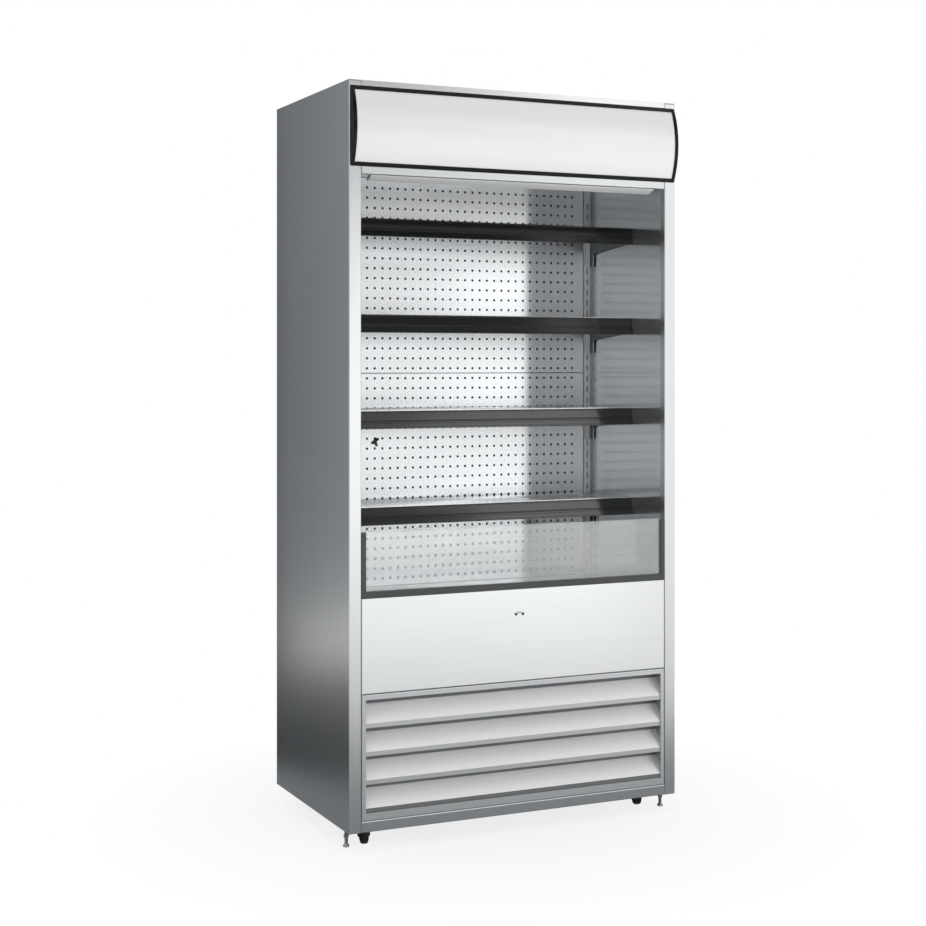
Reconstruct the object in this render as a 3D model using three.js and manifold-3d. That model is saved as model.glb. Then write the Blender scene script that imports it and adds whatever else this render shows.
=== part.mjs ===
// Open multideck display fridge: a one metre wide, self-contained chilled display cabinet.
//
// Units are millimetres, +Z is up and the front faces -Y. The origin is on the floor, under the
// middle of the cabinet. Inside the cabinet group x runs across from the centre line, y runs back
// from the front plane of the body and z runs up from the underside of the body.

import * as THREE from "three";
import { mergeVertices } from "three/addons/utils/BufferGeometryUtils.js";
import Module from "manifold-3d";

// ---- Driving dimensions -------------------------------------------------------------------

const WIDTH = 1000;                 // over the side panels
const DEPTH = 590;                  // front plane of the body to the rear panel
const BODY_HEIGHT = 1980;           // underside of the body to the roof
const GROUND_CLEARANCE = 48;        // floor to the underside of the body
const SHEET = 1.2;                  // folded steel sheet
const CLEARANCE = 0.3;              // fit between neighbouring pieces
const FRONT_SEAM = 1.5;             // open joint round the pieces of the front

const STILE_WIDTH = 34;             // front return of each side panel
const STILE_RETURN = 22;            // second fold of the stile, into the cabinet
const REAR_RETURN = 20;
const ROOF_INSULATION = 40;
const REAR_INSULATION = 40;
const FLOOR_INSULATION = 40;
const ROOF_FLANGE = 15;

const CANOPY_HEIGHT = 212.5;        // lit sign box above the opening
const CANOPY_BULGE = 25;
const CANOPY_INSET = 3;             // short of the side panels at each end
const CANOPY_TRIM = 11;
const CANOPY_SKIN = 1.5;            // diffuser and trim thickness
const LIGHT_BOX_RECESS = 14;
const LAMP_DIAMETER = 16;
const LAMP_INSET = 57;              // end of the canopy to the middle of a lamp holder
const HEADER_HEIGHT = 18.5;
const HEADER_LIP = 16;

const CEILING_DROP = 205;           // roof to the ceiling of the display space
const DUCT_FRONT = 66;              // front wall of the ceiling duct, behind the blind
const OUTLET_DEPTH = 32;
const OUTLET_PITCH = 30;
const OUTLET_WEB = 8;

const DUCT_DEPTH = 118;             // rear air duct behind the back panels
const UPRIGHT_WIDTH = 25;
const UPRIGHT_DEPTH = 40;
const UPRIGHT_PROUD = 4;            // upright in front of the back panels
const UPRIGHT_STEP = 7;             // flange beside the side wall, and how far it stands back
const PANEL_GAP = 2.3;              // back panel to upright
const PANEL_RETURN = 12;
const PANEL_SEAM = 621;             // deck to the joint between the back panels
const SLOT_PITCH = 33.2;
const SLOT_HEIGHT = 18;
const SLOT_WIDTH = 3.6;
const SLOT_FROM_WALL = 15;

const SHELF_COUNT = 4;
const SLOTS_PER_SHELF = 8;
const LOWEST_SHELF = 254;           // deck to the top of the lowest shelf
const SHELF_DEPTH = 233;
const SHELF_REAR_GAP = 10;
const SHELF_SIDE_GAP = 3;
const TRAY_EDGE = 15;               // folded side and rear edges of a shelf tray
const STRIP_HEIGHT = 48;            // price strip along the front of a shelf
const STRIP_LEAN = 13;              // its lower edge stands this far forward
const STRIP_THICKNESS = 4;
const STRIP_DROP = 2;               // strip below the top of the tray
const BRACKET_PLATE = 2.5;
const BRACKET_FLANGE = 12;
const BRACKET_OFFSET = 9;           // bracket web from the middle of the slots, to the wall
const BRACKET_BACK = 18;            // rear flange that covers the slots
const BRACKET_FRONT_HEIGHT = 44;
const BRACKET_ROOT_HEIGHT = 62;
const BRACKET_LEG_WIDTH = 25;
const BRACKET_LEG_HEIGHT = 103;     // tray to the foot of the bracket's rear leg
const HOOK_SPAN_SLOTS = 2;          // slot pitches between a bracket's two hooks

const KICK_HEIGHT = 29;
const LOUVRE_HEIGHT = 333;
const LOUVRE_DEPTH = 50;
const LOUVRE_TOP_RAIL = 14;
const LOUVRE_SIDE_RAIL = 12;
const LOUVRE_BOTTOM_RAIL = 21;
const BLADE_COUNT = 4;
const BLADE_LIP = 12;
const BLADE_RUN = 43;
const BLADE_RISE = 44;
const BLADE_UPSTAND = 14;
const FRONT_PANEL_HEIGHT = 253.5;
const FRONT_PANEL_DEPTH = 24;
const CATCH_WIDTH = 25;
const CATCH_WIRE = 4;
const CATCH_HEIGHT = 185;           // bottom of the front panel to the blind catch
const DECK_RECESS = 30.5;           // deck below the top of the front panel
const RETURN_GRILLE_DEPTH = 34;
const RETURN_GRILLE_PITCH = 38;
const GLASS_RISE = 175.5;           // glass above the front panel
const GLASS_THICKNESS = 5;
const GLASS_CHANNEL = 17;
const GLASS_CHANNEL_DEPTH = 14;
const GLASS_CHANNEL_SIDE = 13.5;

const BLIND_ROLL_DIAMETER = 32;
const BLIND_TUBE_DIAMETER = 24;
const BLIND_CLOTH_WIDTH = 830;
const BLIND_CLOTH_THICKNESS = 0.8;
const BLIND_BAR_LENGTH = 856;
const BLIND_BAR_DEPTH = 30;
const BLIND_BAR_HEIGHT = 13.5;
const BLIND_BAR_SETBACK = 8;

const BASE_PLATE_HEIGHT = 25;       // castor mounting plate above the underside of the body
const BASE_PLATE = 2;
const BASE_RAIL = 40;
const CASTOR_INSET = 70;            // swivel axis from the side of the cabinet
const CASTOR_SETBACK = 85.5;        // swivel axis from the front plane, and from the back
const CASTOR_TRAIL = 19;
const LEFT_CASTOR_YAW = 172;        // degrees, as the front castors stand
const RIGHT_CASTOR_YAW = -12;
const WHEEL_DIAMETER = 50;
const WHEEL_WIDTH = 20;
const AXLE_DIAMETER = 8;
const AXLE_CLEARANCE = 0.5;
const FORK_PLATE = 2.5;
const FORK_GAP = 1;                 // wheel to fork leg
const FORK_LEG_WIDTH = 26;
const CASTOR_CROWN = 44;
const FOOT_INSET = 14;
const FOOT_SETBACK = 58;
const FOOT_STEM = 10;
const FOOT_PAD = 17;
const FOOT_NUT = 15;
const FOOT_BORE = 12;

const FAN_DIAMETER = 190;           // condenser fan
const FAN_TIP_GAP = 4;
const FAN_BLADES = 5;
const COIL_WIDTH = 380;             // condenser
const COIL_HEIGHT = 290;
const COIL_DEPTH = 50;
const COIL_SETBACK = 62;
const CONDENSER_FIN_PITCH = 14;     // fins drawn coarser than the real 3 mm
const EVAPORATOR_FIN_PITCH = 26;
const SHROUD_DEPTH = 40;
const MOTOR_DIAMETER = 66;
const MOTOR_LENGTH = 55;
const SHAFT_DIAMETER = 8;
const COMPRESSOR_DIAMETER = 150;
const COMPRESSOR_HEIGHT = 185;
const EVAPORATOR_WIDTH = 620;
const EVAPORATOR_HEIGHT = 150;
const EVAPORATOR_DEPTH = 95;
const EVAPORATOR_FAN_DIAMETER = 130;

// ---- Levels and planes worked out from them -----------------------------------------------

const HALF = WIDTH / 2;
const WALL = HALF - STILE_WIDTH;                    // inner face of the side walls
const BAY = WALL - CLEARANCE;                       // half width of what fits between them
const FRONT_HALF = WALL - FRONT_SEAM;               // half width of the pieces of the front
const SKIN = HALF - SHEET - CLEARANCE;              // half width inside the side panels

const LOUVRE_TOP = KICK_HEIGHT + LOUVRE_HEIGHT;
const FRONT_PANEL_TOP = LOUVRE_TOP + FRONT_PANEL_HEIGHT;
const DECK = FRONT_PANEL_TOP - DECK_RECESS;
const FLOOR_BOTTOM = LOUVRE_TOP + CLEARANCE;
const FLOOR_TOP = FLOOR_BOTTOM + FLOOR_INSULATION;
const ROOF_UNDERSIDE = BODY_HEIGHT - SHEET;
const SLAB_UNDERSIDE = ROOF_UNDERSIDE - ROOF_INSULATION;
const CEILING = BODY_HEIGHT - CEILING_DROP;
const CANOPY_TOP = BODY_HEIGHT - ROOF_FLANGE;
const CANOPY_BOTTOM = CANOPY_TOP - CANOPY_HEIGHT;
const CANOPY_MIDDLE = CANOPY_TOP - CANOPY_HEIGHT / 2;
const HEADER_BOTTOM = CANOPY_BOTTOM - HEADER_HEIGHT;
const SEAM = DECK + PANEL_SEAM;

const SIDE_DEPTH = DEPTH - SHEET - CLEARANCE;
const REAR_WALL_FACE = SIDE_DEPTH - REAR_INSULATION;
const BACK_PANEL_FACE = REAR_WALL_FACE - DUCT_DEPTH;
const UPRIGHT_FACE = BACK_PANEL_FACE - UPRIGHT_PROUD;
const SHELF_REAR = BACK_PANEL_FACE - SHELF_REAR_GAP;
const SHELF_FRONT = SHELF_REAR - SHELF_DEPTH;
const SLOT_X = WALL - SLOT_FROM_WALL;
const SHELF_PITCH = SLOTS_PER_SHELF * SLOT_PITCH;
const LOWEST_TRAY = DECK + LOWEST_SHELF;
const BASE_TOP = BASE_PLATE_HEIGHT + BASE_PLATE;
const WHEEL_CENTRE = WHEEL_DIAMETER / 2 - GROUND_CLEARANCE;

// ---- Finishes -----------------------------------------------------------------------------

const finish = (color, roughness, metalness) =>
  new THREE.MeshStandardMaterial({ color, roughness, metalness });

const brushedSteel = finish("#d3d5d6", 0.32, 1);
const linerSteel = finish("#c4c8c9", 0.18, 1);
const paintedSteel = finish("#8b9194", 0.45, 0.2);
const zincSteel = finish("#8d8f90", 0.4, 1);
const aluminium = finish("#d8d8da", 0.4, 1);
const blackPlastic = finish("#202325", 0.35, 0);
const castorPlastic = finish("#17191a", 0.6, 0);
const opalPlastic = finish("#f3f3f4", 0.5, 0);
const clothPlastic = finish("#d9dadb", 0.8, 0);
const clearGlass = new THREE.MeshStandardMaterial({
  color: "#dfe6e4",
  roughness: 0.05,
  metalness: 0,
  transparent: true,
  opacity: 0.3,
});
const machineBlack = finish("#26292b", 0.5, 0.3);

// ---- Making shapes ------------------------------------------------------------------------

const outline = (points) => new THREE.Shape(points.map(([a, b]) => new THREE.Vector2(a, b)));

const rectangle = ([a0, b0], [a1, b1]) => outline([[a0, b0], [a1, b0], [a1, b1], [a0, b1]]);

// The section of a sheet folded along a path, with its metal to the left of the path.
function foldedSheet(path, thickness = SHEET) {
  const points = path.map(([a, b]) => new THREE.Vector2(a, b));
  const normals = points.slice(1).map((point, i) => {
    const run = point.clone().sub(points[i]).normalize();
    return new THREE.Vector2(-run.y, run.x);
  });
  const inner = points.map((point, i) => {
    const before = normals[Math.max(i - 1, 0)];
    const after = normals[Math.min(i, normals.length - 1)];
    const mitre = before.clone().add(after).divideScalar(1 + before.dot(after));
    return point.clone().addScaledVector(mitre, thickness);
  });
  return new THREE.Shape([...points, ...inner.reverse()]);
}

function extrude(shape, length, curveSegments = 6) {
  return new THREE.ExtrudeGeometry(shape, { depth: length, bevelEnabled: false, curveSegments });
}

const axes = (x, y, z) => new THREE.Matrix4().makeBasis(
  new THREE.Vector3(...x),
  new THREE.Vector3(...y),
  new THREE.Vector3(...z),
);

// A section drawn in (y, z), run across the cabinet from x0 to x1.
function acrossX(shape, x0, x1, curveSegments) {
  return extrude(shape, x1 - x0, curveSegments)
    .applyMatrix4(axes([0, 1, 0], [0, 0, 1], [1, 0, 0]))
    .translate(x0, 0, 0);
}

// A section drawn in (x, z), run back from y0 to y1.
function alongY(shape, y0, y1, curveSegments) {
  return extrude(shape, y1 - y0, curveSegments)
    .applyMatrix4(axes([1, 0, 0], [0, 0, 1], [0, -1, 0]))
    .translate(0, y1, 0);
}

// A section drawn in (x, y), run up from z0 to z1.
const upZ = (shape, z0, z1, curveSegments) =>
  extrude(shape, z1 - z0, curveSegments).translate(0, 0, z0);

function turned(profile, segments) {
  const points = profile.map(([r, h]) => new THREE.Vector2(r, h));
  return new THREE.LatheGeometry(points, segments).rotateX(Math.PI / 2);
}

function solidOf(geometry) {
  const bare = geometry.index ? geometry.toNonIndexed() : geometry.clone();
  for (const name of Object.keys(bare.attributes)) {
    if (name !== "position") bare.deleteAttribute(name);
  }
  const merged = mergeVertices(bare, 1e-4);
  return new wasm.Manifold(new wasm.Mesh({
    numProp: 3,
    vertProperties: merged.attributes.position.array,
    triVerts: new Uint32Array(merged.index.array),
  }));
}

function geometryOf(solid) {
  const mesh = solid.getMesh();
  const positions = new THREE.BufferAttribute(new Float32Array(mesh.vertProperties), 3);
  return new THREE.BufferGeometry()
    .setAttribute("position", positions)
    .setIndex(new THREE.BufferAttribute(new Uint32Array(mesh.triVerts), 1));
}

const wasm = await Module();
wasm.setup();

const joined = (...geometries) =>
  geometryOf(geometries.map(solidOf).reduce((whole, piece) => whole.add(piece)));

const cutBy = (geometry, tools) =>
  geometryOf(tools.map(solidOf).reduce((whole, tool) => whole.subtract(tool), solidOf(geometry)));

function piece(name, geometry, material) {
  const mesh = new THREE.Mesh(geometry, material);
  mesh.name = name;
  return mesh;
}

const sides = [["left", -1], ["right", 1]];

const mirroredSection = (section, side) =>
  outline(section.getPoints().map(({ x, y }) => [side * x, y]));

// ---- Outer casing -------------------------------------------------------------------------

// Side panel: one sheet folded in plan, from the stile round to the rear return.
function sidePanel(name, side) {
  const section = foldedSheet([
    [WALL, STILE_RETURN],
    [WALL, 0],
    [HALF, 0],
    [HALF, SIDE_DEPTH],
    [HALF - REAR_RETURN, SIDE_DEPTH],
  ]);
  const plan = mirroredSection(section, side);
  return piece(name, upZ(plan, 0, ROOF_UNDERSIDE - CLEARANCE), brushedSteel);
}

// Side liner: a polished pan, open at the back to the foam that fills the wall.
function sideLiner(name, side) {
  const front = STILE_RETURN + CLEARANCE;
  const rear = SIDE_DEPTH - SHEET - CLEARANCE;
  const pan = foldedSheet([[SKIN, front], [WALL, front], [WALL, rear], [SKIN, rear]], -SHEET);
  const plan = mirroredSection(pan, side);
  return piece(name, upZ(plan, FLOOR_BOTTOM, SLAB_UNDERSIDE - CLEARANCE), linerSteel);
}

// Roof: a lid with a front flange between the stiles, over the channel that holds its foam.
function roofPanel() {
  const lid = upZ(rectangle([-HALF, 0], [HALF, DEPTH]), ROOF_UNDERSIDE, BODY_HEIGHT);
  const flange = upZ(rectangle([-BAY, 0], [BAY, SHEET]), CANOPY_TOP, BODY_HEIGHT);
  const seam = ROOF_UNDERSIDE + SHEET / 2;
  const channel = foldedSheet([
    [-SKIN, seam],
    [-SKIN, SLAB_UNDERSIDE],
    [SKIN, SLAB_UNDERSIDE],
    [SKIN, seam],
  ]);
  const slab = alongY(channel, STILE_RETURN + CLEARANCE, SIDE_DEPTH - SHEET - CLEARANCE);
  return piece("roof_panel", joined(lid, flange, slab), brushedSteel);
}

// Rear panel: a flat sheet with rows of vent slots behind the machine compartment.
function rearPanel() {
  const ventWidth = 120;
  const ventHeight = 8;
  const ventPitch = 30;
  const ventColumns = [-1.5, -0.5, 0.5, 1.5].map((k) => k * ventWidth * 1.5);
  const ventBottom = BASE_TOP + BASE_RAIL;
  const rows = Math.floor((FLOOR_BOTTOM - ventBottom - ventPitch) / ventPitch);
  const sheet = rectangle([-HALF + SHEET, 0], [HALF - SHEET, ROOF_UNDERSIDE - CLEARANCE]);
  const vents = [];
  for (let row = 0; row < rows; row += 1) {
    const z = ventBottom + (row + 1) * ventPitch;
    for (const x of ventColumns) {
      const vent = rectangle([x - ventWidth / 2, z], [x + ventWidth / 2, z + ventHeight]);
      vents.push(alongY(vent, DEPTH - 2 * SHEET, DEPTH + SHEET));
    }
  }
  const panel = cutBy(alongY(sheet, DEPTH - SHEET, DEPTH), vents);
  return piece("rear_panel", panel, paintedSteel);
}

// Rear wall: the inner skin of the insulated back, a pan as deep as its foam.
function rearWall() {
  const plan = foldedSheet([
    [BAY, SIDE_DEPTH],
    [BAY, REAR_WALL_FACE],
    [-BAY, REAR_WALL_FACE],
    [-BAY, SIDE_DEPTH],
  ], -SHEET);
  return piece("rear_wall", upZ(plan, FLOOR_BOTTOM, SLAB_UNDERSIDE - CLEARANCE), linerSteel);
}

// Insulated floor: a shallow drain tub that carries the evaporator.
function insulatedFloor() {
  const front = FRONT_PANEL_DEPTH + CLEARANCE;
  const rear = REAR_WALL_FACE - CLEARANCE;
  const rim = 12;
  const section = outline([
    [front, FLOOR_BOTTOM],
    [rear, FLOOR_BOTTOM],
    [rear, FLOOR_TOP + rim],
    [rear - rim, FLOOR_TOP + rim],
    [rear - 2 * rim, FLOOR_TOP],
    [front + 2 * rim, FLOOR_TOP],
    [front + rim, FLOOR_TOP + rim],
    [front, FLOOR_TOP + rim],
  ]);
  return piece("insulated_floor", acrossX(section, -BAY, BAY), opalPlastic);
}

// ---- Front: header, canopy, front panel, grille and glass ----------------------------------

// Header: visible strip over the opening, folded back into the recess of the light box.
function headerPanel() {
  const stripTop = CANOPY_BOTTOM + 2;
  const boxTop = CANOPY_TOP - CLEARANCE - SHEET;
  const section = foldedSheet([
    [HEADER_LIP, HEADER_BOTTOM],
    [0, HEADER_BOTTOM],
    [0, stripTop],
    [LIGHT_BOX_RECESS, stripTop],
    [LIGHT_BOX_RECESS, boxTop],
    [0, boxTop],
  ], -SHEET);
  return piece("header_panel", acrossX(section, -FRONT_HALF, FRONT_HALF), brushedSteel);
}

// The canopy's section is a segment of a circle with its chord just in front of the body.
const canopy = (() => {
  const half = CANOPY_HEIGHT / 2;
  const sagitta = CANOPY_BULGE - CLEARANCE;
  const radius = (half * half + sagitta * sagitta) / (2 * sagitta);
  const chord = radius - sagitta;
  const angleTo = (r) => Math.acos(chord / r);
  const point = (r, angle) => [
    radius - CANOPY_BULGE - r * Math.cos(angle),
    CANOPY_MIDDLE + r * Math.sin(angle),
  ];
  const arc = (r, from, to, steps) =>
    Array.from({ length: steps + 1 }, (_, i) => point(r, from + ((to - from) * i) / steps));
  return { half, radius, chord, angleTo, arc };
})();

const CANOPY_STEPS = 16;
const CANOPY_END = HALF - CANOPY_INSET;

// Band of the canopy's skin between two angles, closed along the chord where it reaches it.
function canopyBand(radius, thickness, from, to, steps) {
  const inner = radius - thickness;
  const limit = canopy.angleTo(inner);
  const innerFrom = THREE.MathUtils.clamp(from, -limit, limit);
  const innerTo = THREE.MathUtils.clamp(to, -limit, limit);
  return outline([
    ...canopy.arc(radius, from, to, steps),
    ...canopy.arc(inner, innerTo, innerFrom, steps),
  ]);
}

function canopyDiffuser() {
  const radius = canopy.radius - CANOPY_SKIN - CLEARANCE;
  const edge = Math.acos((canopy.chord + CLEARANCE) / (radius - CANOPY_SKIN));
  const section = canopyBand(radius, CANOPY_SKIN, -edge, edge, CANOPY_STEPS);
  const end = CANOPY_END - 2 * CANOPY_SKIN - CLEARANCE;
  return piece("canopy_diffuser", acrossX(section, -end, end), opalPlastic);
}

function canopyTrim(name, side) {
  const outerEdge = canopy.angleTo(canopy.radius);
  const innerEdge = Math.asin((canopy.half - CANOPY_TRIM) / canopy.radius);
  const section = canopyBand(canopy.radius, CANOPY_SKIN, side * outerEdge, side * innerEdge, 3);
  const end = CANOPY_END - CANOPY_TRIM - CLEARANCE;
  return piece(name, acrossX(section, -end, end), blackPlastic);
}

// End cap: a moulded segment with a flange that wraps the end of the diffuser.
function canopyEnd(name, side) {
  const edge = canopy.angleTo(canopy.radius);
  const plate = outline(canopy.arc(canopy.radius, -edge, edge, CANOPY_STEPS));
  const flange = canopyBand(canopy.radius, CANOPY_SKIN, -edge, edge, CANOPY_STEPS);
  const inner = CANOPY_END - 2 * CANOPY_SKIN;
  const cap = joined(
    acrossX(plate, inner, CANOPY_END),
    acrossX(flange, CANOPY_END - CANOPY_TRIM, inner + CANOPY_SKIN),
  );
  if (side < 0) cap.rotateZ(Math.PI).scale(1, -1, 1).index.array.reverse();
  return piece(name, cap, blackPlastic);
}

// Sign lamp: a tube between two holders on a spine fixed to the back of the light box.
function canopyLamp() {
  const radius = LAMP_DIAMETER / 2;
  const reach = CANOPY_END - LAMP_INSET;
  const spineBack = LIGHT_BOX_RECESS - CLEARANCE;
  const tubeY = spineBack - LAMP_DIAMETER - CANOPY_SKIN;
  const holder = 14;
  const tube = new THREE.CylinderGeometry(radius, radius, 2 * reach, 12)
    .rotateZ(Math.PI / 2)
    .translate(0, tubeY, CANOPY_MIDDLE);
  const spine = acrossX(
    rectangle([spineBack - 5, CANOPY_MIDDLE - radius], [spineBack, CANOPY_MIDDLE + radius]),
    -reach,
    reach,
  );
  const holderSection = outline([
    [tubeY - radius - 1, CANOPY_MIDDLE - radius],
    [spineBack, CANOPY_MIDDLE - radius - 4],
    [spineBack, CANOPY_MIDDLE + radius + 4],
    [tubeY - radius - 1, CANOPY_MIDDLE + radius],
  ]);
  const holders = sides.map(([, side]) => {
    const centre = side * reach;
    return acrossX(holderSection, centre - holder / 2, centre + holder / 2);
  });
  return piece("canopy_lamp", joined(tube, spine, ...holders), opalPlastic);
}

// Front panel: a pan folded back along its top and bottom, in front of the evaporator space.
function frontPanel() {
  const bottom = LOUVRE_TOP + FRONT_SEAM;
  const section = foldedSheet([
    [FRONT_PANEL_DEPTH, bottom],
    [0, bottom],
    [0, FRONT_PANEL_TOP],
    [FRONT_PANEL_DEPTH, FRONT_PANEL_TOP],
  ], -SHEET);
  return piece("front_panel", acrossX(section, -FRONT_HALF, FRONT_HALF), brushedSteel);
}

// Blind catch: a bent wire loop on the front panel that takes the hook of the night blind.
function blindCatch() {
  const z = LOUVRE_TOP + CATCH_HEIGHT;
  const wire = CATCH_WIRE / 2;
  const half = CATCH_WIDTH / 2 - wire;
  const face = -CLEARANCE;
  const route = new THREE.CatmullRomCurve3([
    new THREE.Vector3(-half, face, z),
    new THREE.Vector3(-half * 0.8, face - wire, z + wire),
    new THREE.Vector3(-half * 0.4, face - 2.1 * wire, z + 2.4 * wire),
    new THREE.Vector3(half * 0.4, face - 2.1 * wire, z + 2.4 * wire),
    new THREE.Vector3(half * 0.8, face - wire, z + wire),
    new THREE.Vector3(half, face, z),
  ]);
  const section = new THREE.Shape().absarc(0, 0, wire, 0, 2 * Math.PI);
  const loop = new THREE.ExtrudeGeometry(section, {
    steps: 12,
    extrudePath: route,
    curveSegments: 3,
  });
  const plateY = [face - 1.5, face];
  const plates = sides.map(([, side]) => {
    const pad = new THREE.Shape().absarc(side * half, z, CATCH_WIRE, 0, 2 * Math.PI);
    return alongY(pad, ...plateY, 8);
  });
  const trimmer = alongY(rectangle([-CATCH_WIDTH, z - 20], [CATCH_WIDTH, z + 20]), face, 20);
  const bridge = alongY(rectangle([-half, z - wire], [half, z + wire / 2]), ...plateY);
  return piece("blind_catch", cutBy(joined(loop, bridge, ...plates), [trimmer]), zincSteel);
}

// Louvre grille: a folded frame with sloping blades welded between its side returns.
function louvreGrille() {
  const bottom = KICK_HEIGHT + CLEARANCE;
  const top = LOUVRE_TOP;
  const face = rectangle([-FRONT_HALF, bottom], [FRONT_HALF, top]);
  const windowLow = [-FRONT_HALF + LOUVRE_SIDE_RAIL, bottom + LOUVRE_BOTTOM_RAIL];
  const windowHigh = [FRONT_HALF - LOUVRE_SIDE_RAIL, top - LOUVRE_TOP_RAIL];
  face.holes.push(rectangle(windowLow, windowHigh));
  const returns = rectangle([-FRONT_HALF, bottom], [FRONT_HALF, top]);
  returns.holes.push(rectangle([-FRONT_HALF + SHEET, bottom + SHEET], [FRONT_HALF - SHEET, top - SHEET]));
  const pitch = (windowHigh[1] - windowLow[1]) / BLADE_COUNT;
  const lipY = 2 * SHEET;
  const blades = Array.from({ length: BLADE_COUNT }, (_, k) => {
    const z = windowLow[1] + k * pitch;
    const section = foldedSheet([
      [lipY, z],
      [lipY, z + BLADE_LIP],
      [lipY + BLADE_RUN, z + BLADE_LIP + BLADE_RISE],
      [lipY + BLADE_RUN, z + BLADE_LIP + BLADE_RISE + BLADE_UPSTAND],
    ], -SHEET);
    return acrossX(section, -FRONT_HALF + SHEET / 2, FRONT_HALF - SHEET / 2);
  });
  const frame = [alongY(face, 0, SHEET), alongY(returns, SHEET / 2, LOUVRE_DEPTH)];
  return piece("louvre_grille", joined(...frame, ...blades), brushedSteel);
}

const CHANNEL_BOTTOM = FRONT_PANEL_TOP + CLEARANCE;
const GLASS_TOP = FRONT_PANEL_TOP + GLASS_RISE;
const GLASS_FACE = (GLASS_CHANNEL_DEPTH - GLASS_THICKNESS) / 2;
const GLASS_BITE = GLASS_CHANNEL_SIDE / 2;

// Glass channel: black gaskets along the foot and up both sides of the glass.
function glassChannel() {
  const top = GLASS_TOP - 2;
  const frame = outline([
    [-BAY, CHANNEL_BOTTOM],
    [BAY, CHANNEL_BOTTOM],
    [BAY, top],
    [BAY - GLASS_CHANNEL_SIDE, top],
    [BAY - GLASS_CHANNEL_SIDE, CHANNEL_BOTTOM + GLASS_CHANNEL],
    [-BAY + GLASS_CHANNEL_SIDE, CHANNEL_BOTTOM + GLASS_CHANNEL],
    [-BAY + GLASS_CHANNEL_SIDE, top],
    [-BAY, top],
  ]);
  const groove = alongY(
    rectangle(
      [-BAY + GLASS_BITE, CHANNEL_BOTTOM + GLASS_BITE],
      [BAY - GLASS_BITE, GLASS_TOP + GLASS_BITE],
    ),
    GLASS_FACE - CLEARANCE,
    GLASS_FACE + GLASS_THICKNESS + CLEARANCE,
  );
  const channel = cutBy(alongY(frame, 0, GLASS_CHANNEL_DEPTH), [groove]);
  return piece("glass_channel", channel, blackPlastic);
}

function glassGuard() {
  const half = BAY - GLASS_BITE - CLEARANCE;
  const corner = 4;
  const pane = outline([
    [-half, CHANNEL_BOTTOM + GLASS_BITE + CLEARANCE],
    [half, CHANNEL_BOTTOM + GLASS_BITE + CLEARANCE],
    [half, GLASS_TOP - corner],
    [half - corner, GLASS_TOP],
    [-half + corner, GLASS_TOP],
    [-half, GLASS_TOP - corner],
  ]);
  const glass = alongY(pane, GLASS_FACE, GLASS_FACE + GLASS_THICKNESS);
  return piece("glass_guard", glass, clearGlass);
}

// ---- Display space ------------------------------------------------------------------------

// Slots in a row across a panel, as cutting solids that reach through it.
function slotRow(halfWidth, pitch, web, [y0, y1], [z0, z1]) {
  const count = Math.floor((2 * halfWidth) / pitch);
  return Array.from({ length: count }, (_, i) => {
    const x = (i - (count - 1) / 2) * pitch;
    const half = (pitch - web) / 2;
    return upZ(rectangle([x - half, y0], [x + half, y1]), z0, z1);
  });
}

// Ceiling: the underside of the top air duct, with the air curtain's outlet slots.
function ceilingPanel() {
  const section = foldedSheet([
    [DUCT_FRONT, SLAB_UNDERSIDE - CLEARANCE],
    [DUCT_FRONT, CEILING],
    [BACK_PANEL_FACE + PANEL_RETURN, CEILING],
  ]);
  const outletFront = DUCT_FRONT + SHEET + 6;
  const outlet = slotRow(
    BAY - OUTLET_PITCH,
    OUTLET_PITCH,
    OUTLET_WEB,
    [outletFront, outletFront + OUTLET_DEPTH],
    [CEILING - SHEET, CEILING + 2 * SHEET],
  );
  return piece("ceiling_panel", cutBy(acrossX(section, -BAY, BAY), outlet), linerSteel);
}

// Back panel: a sheet with side returns, one below and one above the seam.
function backPanel(name, z0, z1) {
  const half = BAY - UPRIGHT_WIDTH - PANEL_GAP;
  const plan = foldedSheet([
    [half, BACK_PANEL_FACE + PANEL_RETURN],
    [half, BACK_PANEL_FACE],
    [-half, BACK_PANEL_FACE],
    [-half, BACK_PANEL_FACE + PANEL_RETURN],
  ], -SHEET);
  return piece(name, upZ(plan, z0, z1), linerSteel);
}

const UPRIGHT_BOTTOM = DECK + CLEARANCE;
const UPRIGHT_TOP = CEILING - CLEARANCE;

// Upper edge of the slot bottom that a bracket's top hook rests on, for a tray at this height.
const hookSeat = (trayTop) => trayTop - SLOT_HEIGHT - 8;

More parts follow.
